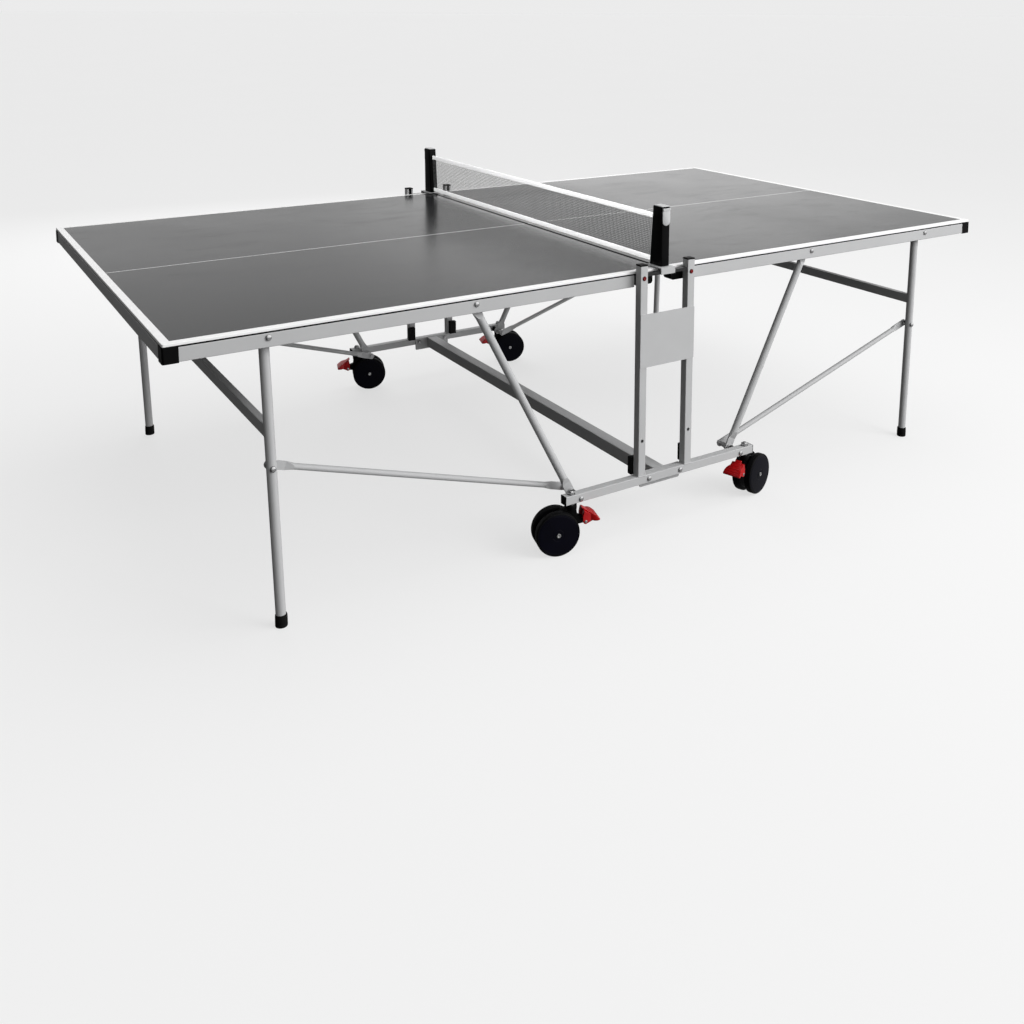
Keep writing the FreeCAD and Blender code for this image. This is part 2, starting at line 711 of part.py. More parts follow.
def post_cap():
    half = POST_SIZE / 2
    mid_y = POST_INNER_Y + half
    top = POST_TOP + POST_CAP_HEIGHT
    lid = box(POST_X - half, POST_X + half, mid_y - half, mid_y + half, POST_TOP, top)
    lid = fillet_edges(lid, POST_CAP_ROUND, lambda edge: edge.BoundBox.ZMin > top - TINY)
    inner = half - POST_WALL
    bottom = POST_TOP - POST_PLUG_DEPTH
    plug = box(POST_X - inner, POST_X + inner, mid_y - inner, mid_y + inner, bottom, POST_TOP)
    return lid.fuse(plug)


def post_plate():
    inner_y = POST_INNER_Y + POST_SIZE
    half = POST_X + POST_SIZE / 2
    plate = box(-half, half, inner_y, inner_y + PLATE_THICKNESS, PLATE_BOTTOM, PLATE_BOTTOM + PLATE_HEIGHT)
    return fillet_edges(plate, PLATE_RADIUS, lambda edge: runs_along(edge, Y_AXIS))


def crossbeam():
    half = BEAM_SIZE / 2
    high = rail_top() - BEAM_DROP
    end_y = POST_INNER_Y - FLANGE_THICKNESS
    beam = tube(vec(-half, -end_y, high - BEAM_SIZE), vec(half, end_y, high), Y_AXIS, BEAM_WALL, BEAM_ROUND)
    flange = box(-FLANGE_HALF_WIDTH, FLANGE_HALF_WIDTH, end_y, POST_INNER_Y, FLANGE_BOTTOM, rail_top())
    flange = fillet_edges(flange, FLANGE_ROUND, lambda edge: runs_along(edge, Y_AXIS))
    for side_x in (-1, 1):
        hole = hole_y(side_x * FLANGE_BOLT_X, RAIL_BOLT_Z, end_y, POST_INNER_Y, BOLT_RADIUS)
        flange = flange.cut(hole)
    return [beam] + near_and_far(flange)


def landing_buffer():
    inner_y = POST_INNER_Y - BUFFER_DEPTH
    low = rail_top()
    block = box(BUFFER_INNER_X, BUFFER_OUTER_X, inner_y, POST_INNER_Y, low, low + BUFFER_HEIGHT)
    return fillet_edges(
        block, BUFFER_RADIUS,
        lambda edge: runs_along(edge, X_AXIS) and edge.BoundBox.YMax < inner_y + TINY,
    )


def rail_end_plug():
    inner_y, outer_y = POST_INNER_Y, POST_INNER_Y + RAIL_SIZE
    low, high = RAIL_BOTTOM, rail_top()
    wall = RAIL_WALL
    end = RAIL_HALF_LENGTH
    cover_end = end + PLUG_FLANGE
    cover = box(end, cover_end, inner_y, outer_y, low, high)
    cover = fillet_edges(cover, PLUG_ROUND, lambda edge: edge.BoundBox.XMin > cover_end - TINY)
    plug = box(end - PLUG_DEPTH, end, inner_y + wall, outer_y - wall, low + wall, high - wall)
    plug = plug.cut(cylinder_z(STEM_X, STEM_Y, low, high, STEM_RADIUS + LOOSE_FIT))
    return cover.fuse(plug)


def link_spacer():
    low = BRACE_BOSS_OUTER_Y + PIVOT_GAP
    ring = cylinder_y(LINK_X, LINK_Z, low, POST_INNER_Y, SPACER_RADIUS)
    ring = fillet_edges(ring, SPACER_ROUND, is_circle)
    return ring.cut(hole_y(LINK_X, LINK_Z, low, POST_INNER_Y, BOLT_RADIUS))


def flange_bolt():
    end_y = POST_INNER_Y - FLANGE_THICKNESS
    bolt = domed_bolt(FLANGE_BOLT_X, RAIL_BOLT_Z, POST_INNER_Y + RAIL_SIZE, end_y)
    return bolt.fuse(hexagon_y(FLANGE_BOLT_X, RAIL_BOLT_Z, end_y - NUT_HEIGHT, end_y, NUT_ACROSS))


def link_bolt():
    return domed_bolt(LINK_X, LINK_Z, POST_INNER_Y + RAIL_SIZE, BRACE_BOSS_OUTER_Y + PIVOT_GAP)


def caster_stem():
    nut_top = rail_top() + STEM_NUT_HEIGHT
    stem = cylinder_z(STEM_X, STEM_Y, STEM_BOTTOM, nut_top + STEM_TIP, STEM_RADIUS)
    bearing = cylinder_z(STEM_X, STEM_Y, BEARING_BOTTOM, RAIL_BOTTOM, BEARING_RADIUS)
    nut = hexagon_z(STEM_X, STEM_Y, rail_top(), nut_top, STEM_NUT_ACROSS)
    return stem.fuse([bearing, nut])


# ---------------------------------------------------------------- net

def net_inner_y(z):
    share = (z - NET_POST_BOTTOM) / (NET_POST_TOP - NET_POST_BOTTOM)
    return NET_POST_INNER_LOW_Y + share * (NET_POST_INNER_HIGH_Y - NET_POST_INNER_LOW_Y)


def net_post():
    profile = [
        vec(-NET_POST_HALF_X, NET_POST_INNER_LOW_Y, NET_POST_BOTTOM),
        vec(-NET_POST_HALF_X, NET_POST_OUTER_Y, NET_POST_BOTTOM),
        vec(-NET_POST_HALF_X, NET_POST_OUTER_Y, NET_POST_TOP),
        vec(-NET_POST_HALF_X, NET_POST_INNER_HIGH_Y, NET_POST_TOP),
    ]
    profile.append(profile[0])
    post = Part.Face(Part.makePolygon(profile)).extrude(vec(2 * NET_POST_HALF_X, 0, 0))
    return fillet_edges(post, NET_POST_EDGE, lambda edge: edge.BoundBox.ZLength > NET_POST_EDGE)


def net_panel(half_thickness, z0, z1):
    corners = [
        vec(-half_thickness, -net_inner_y(z0), z0),
        vec(-half_thickness, net_inner_y(z0), z0),
        vec(-half_thickness, net_inner_y(z1), z1),
        vec(-half_thickness, -net_inner_y(z1), z1),
    ]
    corners.append(corners[0])
    return Part.Face(Part.makePolygon(corners)).extrude(vec(2 * half_thickness, 0, 0))


def net_mesh():
    return net_panel(MESH_THICKNESS / 2, NET_BOTTOM + TAPE_THICKNESS, NET_TOP - TAPE_THICKNESS)


def net_tapes():
    half = MESH_THICKNESS / 2 + TAPE_THICKNESS
    mesh = net_mesh()
    top = net_panel(half, NET_TOP - TAPE_WIDTH, NET_TOP).cut(mesh)
    bottom = net_panel(half, NET_BOTTOM, NET_BOTTOM + TAPE_WIDTH).cut(mesh)
    return [top, bottom]


def net_bracket():
    outer_y = POST_INNER_Y + POST_SIZE
    high = NET_POST_BOTTOM
    half = BRACKET_HALF_X
    seat = box(-half, half, NET_POST_INNER_LOW_Y, outer_y, high - BRACKET_THICKNESS, high)
    tab = box(-half, half, outer_y - BRACKET_THICKNESS, outer_y, high - BRACKET_DROP, high)
    return seat.fuse(tab)


def net_support_bar():
    outer_y = POST_INNER_Y + POST_SIZE - BRACKET_THICKNESS
    half = POST_X - POST_SIZE / 2
    bar = box(-half, half, outer_y - BAR_DEPTH, outer_y, BAR_BOTTOM, BAR_BOTTOM + BAR_HEIGHT)
    top = NET_POST_BOTTOM - BRACKET_THICKNESS
    riser = box(-BRACKET_HALF_X, BRACKET_HALF_X, outer_y - BAR_DEPTH, outer_y, BAR_BOTTOM, top)
    return bar.fuse(riser)


def net_clip():
    low, high = CLIP_BOTTOM, CLIP_TOP
    y0, y1 = NET_POST_OUTER_Y, NET_POST_OUTER_Y + CLIP_THICKNESS
    plate = box(-CLIP_HALF_X, CLIP_HALF_X, y0, y1, low + CLIP_HALF_X, high)
    plate = plate.fuse(cylinder_y(0, low + CLIP_HALF_X, y0, y1, CLIP_HALF_X))
    return plate.removeSplitter()


def net_post_cover():
    half = NET_POST_HALF_X - NET_POST_COVER_INSET
    inner_y = NET_POST_INNER_HIGH_Y + NET_POST_COVER_INSET
    outer_y = NET_POST_OUTER_Y - NET_POST_COVER_INSET
    return box(-half, half, inner_y, outer_y, NET_POST_TOP, NET_POST_TOP + NET_POST_COVER)


def save_carriage():
    save("rails", near_and_far(rail()))
    save("guide_posts", four_corners(guide_post()))
    save("post_caps", four_corners(post_cap()))
    save("post_plates", near_and_far(post_plate()))
    save("crossbeam", crossbeam())
    save("landing_buffers", four_corners(landing_buffer()))
    save("rail_end_plugs", four_corners(rail_end_plug()))
    save("link_spacers", four_corners(link_spacer()))
    fasteners = []
    for piece in (flange_bolt(), link_bolt(), caster_stem()):
        fasteners.extend(four_corners(piece))
    save("carriage_fasteners", fasteners)


def save_net():
    save("net_support_bars", near_and_far(net_support_bar()))
    save("net_brackets", near_and_far(net_bracket()))
    save("net_posts", near_and_far(net_post()))
    save("net_clips", near_and_far(net_clip()) + near_and_far(net_post_cover()))
    save("net_mesh", [net_mesh()])
    save("net_tapes", net_tapes())


# ---------------------------------------------------------------- casters
# Drawn with the stem at the origin and the trail along +X.

def caster_housing():
    half = CORE_HALF_WIDTH
    core = cylinder_y(TRAIL, WHEEL_RADIUS, -half, half, CORE_RADIUS)
    boss = cylinder_y(LEVER_PIN_X, LEVER_PIN_Z, -half, half, LEVER_BOSS_RADIUS)
    hub = cylinder_z(0, 0, HUB_BOTTOM, HUB_TOP, HUB_RADIUS)
    body = outline_xz(HOUSING_OUTLINE, -half, half).fuse([core, boss, hub])
    stem_low = STEM_BOTTOM - LOOSE_FIT
    body = body.cut(cylinder_z(0, 0, stem_low, HUB_TOP + OVERCUT, STEM_RADIUS + RUNNING_FIT))
    body = body.cut(hole_y(TRAIL, WHEEL_RADIUS, -half, half, AXLE_RADIUS))
    return body.cut(hole_y(LEVER_PIN_X, LEVER_PIN_Z, -half, half, LEVER_PIN_RADIUS))


def caster_axle():
    end = WHEEL_OUTER_Y + AXLE_END_GAP
    axle = cylinder_y(TRAIL, WHEEL_RADIUS, -end, end, AXLE_RADIUS)
    head = cylinder_y(TRAIL, WHEEL_RADIUS, end, end + AXLE_HEAD, AXLE_HEAD_RADIUS)
    return axle.fuse(near_and_far(head))


def lever_pin():
    end = LEVER_HALF_WIDTH + AXLE_END_GAP
    return cylinder_y(LEVER_PIN_X, LEVER_PIN_Z, -end, end, LEVER_PIN_RADIUS)


def caster_wheel():
    bore = AXLE_RADIUS + RUNNING_FIT
    profile = [vec(bore, WHEEL_INNER_Y, 0)]
    for drop, y in WHEEL_RIM:
        profile.append(vec(WHEEL_RADIUS - drop, y, 0))
    profile.append(vec(WHEEL_FACE_RADIUS, WHEEL_OUTER_Y, 0))
    profile.append(vec(bore, WHEEL_OUTER_Y, 0))
    profile.append(profile[0])
    wheel = Part.Face(Part.makePolygon(profile)).revolve(ORIGIN, Y_AXIS, 360)
    wheel.translate(vec(TRAIL, 0, WHEEL_RADIUS))
    return wheel


def brake_lever():
    half = LEVER_HALF_WIDTH
    slot = CORE_HALF_WIDTH + LOOSE_FIT
    slot_end = LEVER_PIN_X - LEVER_BOSS_RADIUS - 2 * AXLE_END_GAP
    tip_x = min(x for x, _ in LEVER_OUTLINE)
    wide = PEDAL_HALF_WIDTH
    pedal = outline_xz(LEVER_OUTLINE, -wide, wide)
    pedal = pedal.common(box(tip_x, PEDAL_START_X, -wide, wide, 0, rail_top()))
    lever = outline_xz(LEVER_OUTLINE, -half, half).fuse(pedal).removeSplitter()
    lever = lever.cut(box(slot_end, 0, -slot, slot, 0, rail_top()))
    return lever.cut(hole_y(LEVER_PIN_X, LEVER_PIN_Z, -half, half, LEVER_PIN_RADIUS + RUNNING_FIT))


def save_casters():
    for place, side_x, side_y, trail_angle in CASTER_REST:
        groups = (
            ("caster_housing", [caster_housing(), caster_axle(), lever_pin()]),
            ("caster_wheels", near_and_far(caster_wheel())),
            ("brake_lever", [brake_lever()]),
        )
        for name, shapes in groups:
            for shape in shapes:
                shape.rotate(ORIGIN, Z_AXIS, trail_angle)
                shape.translate(vec(side_x * STEM_X, side_y * STEM_Y, 0))
            save(name + "_" + place, shapes)
        save("lock_button_" + place, [mirrored(lock_button(), side_x, side_y)])


def main():
    os.makedirs("parts", exist_ok=True)
    for side, side_x in SIDES:
        save_half(side, side_x)
        save_leg_frame(side, side_x)
        save_side("brace_tubes", side, side_x, near_and_far(brace()))
        save_side("strut_rods", side, side_x, near_and_far(strut_rod()))
        save_side("slide_shoes", side, side_x, near_and_far(slide_shoe()))
    save_carriage()
    save_net()
    save_casters()


main()
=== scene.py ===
import json
import math
import random

import bmesh
import bpy
from mathutils import Matrix, Vector


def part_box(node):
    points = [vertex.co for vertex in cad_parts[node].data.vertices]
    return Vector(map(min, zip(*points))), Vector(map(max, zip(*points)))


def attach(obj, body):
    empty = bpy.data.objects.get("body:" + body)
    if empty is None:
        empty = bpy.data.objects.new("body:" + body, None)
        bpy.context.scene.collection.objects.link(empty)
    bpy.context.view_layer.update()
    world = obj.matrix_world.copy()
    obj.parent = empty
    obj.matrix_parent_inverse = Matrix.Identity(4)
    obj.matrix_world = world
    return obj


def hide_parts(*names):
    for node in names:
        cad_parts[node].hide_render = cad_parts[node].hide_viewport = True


# The look of a folding ping pong table: metres, X along the table, Y across it, Z up,
# origin on the floor under the net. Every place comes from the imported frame.

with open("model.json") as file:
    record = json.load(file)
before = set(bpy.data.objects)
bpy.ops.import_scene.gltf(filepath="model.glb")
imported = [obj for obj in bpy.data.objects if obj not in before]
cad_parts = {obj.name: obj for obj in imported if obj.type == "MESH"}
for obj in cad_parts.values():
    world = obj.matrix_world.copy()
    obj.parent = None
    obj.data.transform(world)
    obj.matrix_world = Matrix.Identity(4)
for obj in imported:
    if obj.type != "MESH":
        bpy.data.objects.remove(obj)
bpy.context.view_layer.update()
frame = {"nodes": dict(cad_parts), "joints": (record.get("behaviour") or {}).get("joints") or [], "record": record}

SIDES = ("left", "right")
PLACES = ("left_near", "right_near", "left_far", "right_far")
X_AXIS, Y_AXIS, Z_AXIS = Vector((1, 0, 0)), Vector((0, 1, 0)), Vector((0, 0, 1))

# Playing surface
SIDE_LINE = 0.020
CENTRE_LINE = 0.003
SEAM_SHADE_BAND = 0.0014  # height of the board's edge above its underside that takes the dark underside colour, a painted shadow in the seam over the edge strip
BOARD_LOW, BOARD_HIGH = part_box("top_board_right")

# Net
ROW_PITCH = 0.0053
COLUMN_PITCH = 0.0072
THREAD_RADIUS = 0.00060
KNOT_RADIUS = 0.00120
TAPE_WIDTH = 0.015
TAPE_HALF_THICKNESS = 0.0014
TAPE_ROUND = 0.0011
POST_ROUND = 0.0045
POST_LEAN = 0.013  # how much narrower a net post is at its top
NET_LEAN = 0.0106  # how much narrower the net is at its bottom, on each side
CLIP_LIP = 0.0034

# Caster, in its own frame: origin on the floor under the stem, X along the trail
WHEEL_RADIUS = 0.0625
BODY_HALF_WIDTH = 0.0088
LEVER_PIN = Vector((-0.037, 0.0, 0.086))
LEVER_EAR = 0.0076
ARM_INNER, ARM_OUTER = 0.0098, 0.0215
STEM_RADIUS = 0.0060
STEM_COLLAR = 0.0120
HEAD_TOP = 0.1340

# Fasteners
HEAD_RADIUS = 0.0080
HEAD_HEIGHT = 0.0045
NUT_ACROSS = 0.0130
NUT_HEIGHT = 0.0064
THREAD_RADIUS_M8 = 0.0038
THREAD_OUT = 0.0020
SHANK_RADIUS = 0.0040
SHANK_START = 0.0072  # where the shank starts, above the nut on the bolt's inner end
BORE_RADIUS = 0.0042
SHORTEST_BOLT = 0.015  # shorter solids in a fastener node are washers or spacer rings
STEM_NUT_ACROSS = 0.0180
STEM_NUT_HEIGHT = 0.0070
STEM_WASHER = 0.0016

# Lock button
BUTTON_RADIUS = 0.0050
BUTTON_FLANGE = 0.0065
BEZEL_INNER = 0.00515

# Legs and welds
LEG_RADIUS = 0.0125
WELD_RADIUS = 0.0014
LEG_WELD_RADIUS = 0.0012
WELD_RIPPLE = 0.0022

# Light, as strengths of the white surround, and the floor
BACKDROP_LEVEL = 0.835
FRONT_LEVEL = 0.86
REAR_LEVEL = 0.42
GLOW_LEVEL = 0.36
PATCH_LEVEL = 0.55
LEFT_SHARE = 0.22  # share kept of the light that comes from the left
BELOW_SHARE = 0.28  # and from below the floor
FRONT_SLOPE = (0.55, -0.38, 0.05)
PATCH_TOWARD = (0.588, 0.809, 0.0)
FLOOR_GLOW = 0.66
FLOOR_LEVEL = -0.0004
FLOOR_HALF = 500.0

# Camera, with angles in degrees
CAMERA_PLACE = (-1.871, -3.178, 1.485)
CAMERA_AZIMUTH = -33.35
CAMERA_ELEVATION = 8.0
CAMERA_ROLL = 0.32
LENS = 38.30
SENSOR = 36.0
SHIFT_X, SHIFT_Y = -0.0667, -0.3397


# ---------------------------------------------------------------- reading the frame

def joint(name):
    return next(j for j in frame["joints"] if j["name"] == name)


def solids(node):
    """The (lowest, highest) corners of each separate solid of a CAD node, in a fixed order."""
    shape = bmesh.new()
    shape.from_mesh(frame["nodes"][node].data)
    bmesh.ops.remove_doubles(shape, verts=shape.verts, dist=1e-6)
    waiting = set(shape.verts)
    found = []
    while waiting:
        group = [waiting.pop()]
        for vertex in group:
            for edge in vertex.link_edges:
                other = edge.other_vert(vertex)
                if other in waiting:
                    waiting.remove(other)
                    group.append(other)
        low = Vector([min(v.co[k] for v in group) for k in range(3)])
        high = Vector([max(v.co[k] for v in group) for k in range(3)])
        found.append((low, high))
    shape.free()
    return sorted(found, key=lambda pair: [round(value, 5) for corner in pair for value in corner])


# ---------------------------------------------------------------- materials

class Graph:
    """A node material that is built one node at a time."""

    def __init__(self, name):
        self.material = bpy.data.materials.new(name)
        self.material.use_nodes = True
        self.tree = self.material.node_tree
        self.shader = self.tree.nodes["Principled BSDF"]
        self.place = self.tree.nodes.new("ShaderNodeTexCoord").outputs["Object"]

    def feed(self, socket, value):
        if isinstance(value, bpy.types.NodeSocket):
            self.tree.links.new(value, socket)
        else:
            socket.default_value = value

    def add(self, kind, inputs=None, **settings):
        node = self.tree.nodes.new(kind)
        for key, value in settings.items():
            setattr(node, key, value)
        for key, value in (inputs or {}).items():
            self.feed(node.inputs[key], value)
        return node

    def noise(self, scale, detail=2.0, roughness=0.5, distortion=0.0, place=None):
        inputs = {"Scale": scale, "Detail": detail, "Roughness": roughness, "Distortion": distortion}
        inputs["Vector"] = place or self.place
        return self.add("ShaderNodeTexNoise", inputs).outputs["Fac"]

    def stretched(self, x, y, z):
        return self.add("ShaderNodeMapping", {"Vector": self.place, "Scale": (x, y, z)}).outputs["Vector"]

    def math(self, operation, a, b=0.0, clamp=False):
        node = self.add("ShaderNodeMath", {0: a, 1: b}, operation=operation, use_clamp=clamp)
        return node.outputs[0]

    def ramp(self, value, low, high, out_low=0.0, out_high=1.0):
        inputs = {"Value": value, "From Min": low, "From Max": high, "To Min": out_low, "To Max": out_high}
        return self.add("ShaderNodeMapRange", inputs).outputs["Result"]

    def mix(self, share, a, b):
        node = self.add("ShaderNodeMix", data_type="RGBA")
        self.feed(node.inputs["Factor"], share)
        self.feed(node.inputs[6], a)
        self.feed(node.inputs[7], b)
        return node.outputs[2]

    def bump(self, height, distance, strength=1.0, normal=None):
        inputs = {"Height": height, "Distance": distance, "Strength": strength}
        if normal is not None:
            inputs["Normal"] = normal
        return self.add("ShaderNodeBump", inputs).outputs["Normal"]

    def edges(self, radius):
        """1 where the surface turns sharply, 0 on flat parts."""
        soft = self.add("ShaderNodeBevel", {"Radius": radius}, samples=4).outputs["Normal"]
        true = self.add("ShaderNodeNewGeometry").outputs["Normal"]
        both = self.add("ShaderNodeVectorMath", {0: soft, 1: true}, operation="DOT_PRODUCT").outputs["Value"]
        return self.ramp(both, 0.995, 0.85)

    def set(self, **values):
        for key, value in values.items():
            self.feed(self.shader.inputs[key.replace("_", " ")], value)
        return self.material


def grey(value):
    return (value, value, value, 1.0)


def shades(colour, share):
    """A darker and a lighter version of a colour."""
    dark = tuple(channel * (1 - share) for channel in colour[:3]) + (1.0,)
    light = tuple(min(1.0, channel * (1 + share)) for channel in colour[:3]) + (1.0,)
    return dark, light


def playing_board():
    """Matt dark paint with fine texture, white lines, and a plain dark underside whose colour reaches a little up
    the edge as a painted shadow in the seam.
    """
    g = Graph("playing_board")
    axes = g.add("ShaderNodeSeparateXYZ", {"Vector": g.place}).outputs
    ragged = g.ramp(g.noise(900.0), 0.3, 0.7, -0.00025, 0.00025)
    x = g.math("ADD", g.math("ABSOLUTE", axes["X"]), ragged)
    y = g.math("ADD", g.math("ABSOLUTE", axes["Y"]), ragged)
    soft = 0.0002
    end = BOARD_HIGH.x - SIDE_LINE
    side = BOARD_HIGH.y - SIDE_LINE
    half = CENTRE_LINE / 2
    end_line = g.ramp(x, end - soft, end + soft)
    side_line = g.ramp(y, side - soft, side + soft)
    centre_line = g.ramp(y, half + soft, half - soft)
    line = g.math("MAXIMUM", g.math("MAXIMUM", end_line, side_line), centre_line)
    net_end = g.ramp(x, BOARD_LOW.x + 0.0006, BOARD_LOW.x + 0.001)
    line = g.math("MULTIPLY", line, net_end)

    broad = g.noise(2.2, 4.0, 0.6)
    rubbed = g.noise(14.0, 5.0, 0.65, 0.4, g.stretched(0.35, 1.0, 1.0))
    grain = g.noise(1400.0, 2.0)
    dark, light = shades((0.023, 0.0235, 0.0245), 0.22)
    paint = g.mix(broad, dark, light)
    paint = g.mix(g.ramp(rubbed, 0.60, 0.82, 0.0, 0.30), paint, (0.050, 0.051, 0.052, 1.0))
    dull = g.ramp(rubbed, 0.62, 0.30, 0.0, 0.16)
    white = g.mix(dull, grey(0.93), grey(0.72))
    # The dark underside colour reaches a little way up the board's edge: a painted shadow in the seam above the
    # edge strip.
    under = g.ramp(axes["Z"], BOARD_LOW.z + SEAM_SHADE_BAND, BOARD_LOW.z + SEAM_SHADE_BAND + 0.0002)
    top = g.mix(line, paint, white)
    fibre = g.noise(60.0, 4.0, 0.6, 0.0, g.stretched(0.15, 1.0, 1.0))
    below = g.mix(fibre, grey(0.018), grey(0.040))
    colour = g.mix(under, below, top)

    rough = g.math("ADD", g.ramp(broad, 0.3, 0.7, 0.18, 0.24), g.ramp(grain, 0.2, 0.8, -0.03, 0.03))
    rough = g.math("ADD", rough, g.ramp(rubbed, 0.55, 0.85, 0.0, 0.07))
    height = g.math("ADD", grain, g.math("MULTIPLY", line, 0.8))
    g.set(Specular_IOR_Level=0.40)
    return g.set(Base_Color=colour, Roughness=rough, Normal=g.bump(height, 0.00005, 0.55))


def powder_coat(name, colour, roughness=0.42):
    """Powder coat: orange peel, faint dust, rubbed edges, and small chips on corners."""
    g = Graph(name)
    broad = g.noise(7.0, 4.0, 0.6)
    peel = g.noise(620.0, 2.0, 0.45)
    fine = g.noise(2600.0, 1.0)
    scuff = g.noise(90.0, 6.0, 0.7, 0.6)
    dark, light = shades(colour, 0.07)
    paint = g.mix(broad, dark, light)
    worn = g.math("MULTIPLY", g.edges(0.0012), g.ramp(scuff, 0.50, 0.66), clamp=True)
    paint = g.mix(g.ramp(scuff, 0.66, 0.80, 0.0, 0.25), paint, shades(colour, 0.35)[0])
    paint = g.mix(g.math("MULTIPLY", worn, 0.55), paint, shades(colour, 0.45)[1])
    rough = g.ramp(broad, 0.3, 0.7, roughness - 0.05, roughness + 0.07)
    rough = g.math("ADD", rough, g.ramp(scuff, 0.6, 0.8, 0.0, 0.12))
    height = g.math("ADD", peel, g.math("MULTIPLY", fine, 0.25))
    return g.set(Base_Color=paint, Roughness=rough, Normal=g.bump(height, 0.00006, 0.6))


def moulded(name, colour, roughness, grain=1500.0, depth=0.00004, rub=0.3, specular=0.5):
    """Moulded plastic or rubber: fine spark-eroded grain, mould-flow shading and rubbed edges."""
    g = Graph(name)
    flow = g.noise(22.0, 4.0, 0.6, 0.3)
    texture = g.noise(grain, 2.0, 0.6)
    marks = g.noise(160.0, 6.0, 0.75, 0.8)
    dark, light = shades(colour, 0.22)
    base = g.mix(flow, dark, light)
    rubbed = tuple(min(1.0, channel * 1.5 + 0.006) for channel in colour[:3]) + (1.0,)
    share = g.math("MULTIPLY", g.edges(0.0009), g.ramp(marks, 0.42, 0.62, 0.0, rub), clamp=True)
    base = g.mix(share, base, rubbed)
    rough = g.ramp(flow, 0.3, 0.7, roughness - 0.05, roughness + 0.05)
    rough = g.math("ADD", rough, g.ramp(marks, 0.6, 0.8, 0.0, 0.10))
    g.set(Specular_IOR_Level=specular)
    return g.set(Base_Color=base, Roughness=rough, Normal=g.bump(texture, depth, 0.7))


def bright_steel():
    """Zinc-plated steel: metal with a fine brushed direction and dull spots."""
    g = Graph("bright_steel")
    brushed = g.noise(900.0, 3.0, 0.6, 0.0, g.stretched(1.0, 0.12, 1.0))
    spots = g.noise(260.0, 4.0, 0.65)
    tint = g.mix(spots, (0.42, 0.42, 0.44, 1.0), (0.62, 0.62, 0.61, 1.0))
    rough = g.math("ADD", g.ramp(brushed, 0.3, 0.7, 0.16, 0.28), g.ramp(spots, 0.55, 0.75, 0.0, 0.15))
    return g.set(Base_Color=tint, Metallic=1.0, Roughness=rough, Normal=g.bump(brushed, 0.00002, 0.5))


def wheel_disc():
    """Glossy dark plastic disc with a fine grain and hair scratches."""
    g = Graph("wheel_disc")
    scratch = g.noise(120.0, 7.0, 0.8, 1.2)
    flow = g.noise(18.0, 3.0)
    tone = g.mix(flow, (0.0010, 0.0010, 0.0022, 1.0), (0.0018, 0.0016, 0.0075, 1.0))
    rough = g.math("ADD", g.ramp(flow, 0.3, 0.7, 0.26, 0.36), g.ramp(scratch, 0.6, 0.8, 0.0, 0.18))
    fine = g.noise(1900.0, 2.0)
    g.set(Specular_IOR_Level=0.09)
    return g.set(Base_Color=tone, Roughness=rough, Normal=g.bump(fine, 0.00002, 0.5))


def net_thread():
    """Twisted dark nylon."""
    g = Graph("net_thread")
    twist = g.noise(2400.0, 2.0, 0.6, 0.8)
    tone = g.mix(twist, grey(0.05), grey(0.13))
    g.set(Sheen_Weight=0.15, Sheen_Roughness=0.5)
    rough = g.ramp(twist, 0.3, 0.7, 0.55, 0.75)
    return g.set(Base_Color=tone, Roughness=rough, Normal=g.bump(twist, 0.0002, 0.8))


def woven_tape():
    """White cotton tape: plain weave and slight soiling."""
    g = Graph("woven_tape")
    axes = g.add("ShaderNodeSeparateXYZ", {"Vector": g.place}).outputs
    thread = 2 * math.pi / 0.0009
    along = g.math("SINE", g.math("MULTIPLY", axes["Y"], thread))
    across = g.math("SINE", g.math("MULTIPLY", axes["Z"], thread))
    weave = g.math("MULTIPLY", along, across)
    dirt = g.noise(9.0, 5.0, 0.65)
    lint = g.noise(700.0, 3.0)
    cloth = g.mix(g.ramp(dirt, 0.35, 0.75, 0.0, 1.0), grey(0.90), grey(0.78))
    # Painted shade: the cloth turns greyer in the low hollows of the weave, where its bump sinks.
    cloth = g.mix(g.ramp(weave, -1.0, -0.2, 0.35, 0.0), cloth, grey(0.60))
    height = g.math("ADD", g.math("MULTIPLY", weave, 0.5), lint)
    g.set(Sheen_Weight=0.25, Sheen_Roughness=0.6)
    rough = g.ramp(lint, 0.3, 0.7, 0.75, 0.92)
    return g.set(Base_Color=cloth, Roughness=rough, Normal=g.bump(height, 0.00018, 0.8))


MATERIALS = {
    "playing_board": playing_board(),
    "grey_steel": powder_coat("grey_steel", (0.485, 0.488, 0.492)),
    "black_steel": powder_coat("black_steel", (0.012, 0.012, 0.013), 0.36),
    "bright_steel": bright_steel(),
    "black_plastic": moulded("black_plastic", (0.0018, 0.0018, 0.0020), 0.45, specular=0.09),
    "grey_plastic": moulded("grey_plastic", (0.50, 0.505, 0.51), 0.40),
    "black_rubber": moulded("black_rubber", (0.0045, 0.0045, 0.0045), 0.70, 900.0, 0.0001, 0.5, 0.14),
    "wheel_plastic": wheel_disc(),
    "red_plastic": moulded("red_plastic", (0.42, 0.004, 0.006), 0.30, 1800.0, 0.00002, specular=0.35),
    "net_fabric": net_thread(),
    "white_tape": woven_tape(),
}
TYRE = moulded("tyre_rubber", (0.0022, 0.0022, 0.0026), 0.55, 800.0, 0.00008, 0.4, 0.12)
BUTTON_RED = moulded("button_red", (0.19, 0.003, 0.005), 0.35, 1800.0, 0.00002, specular=0.3)


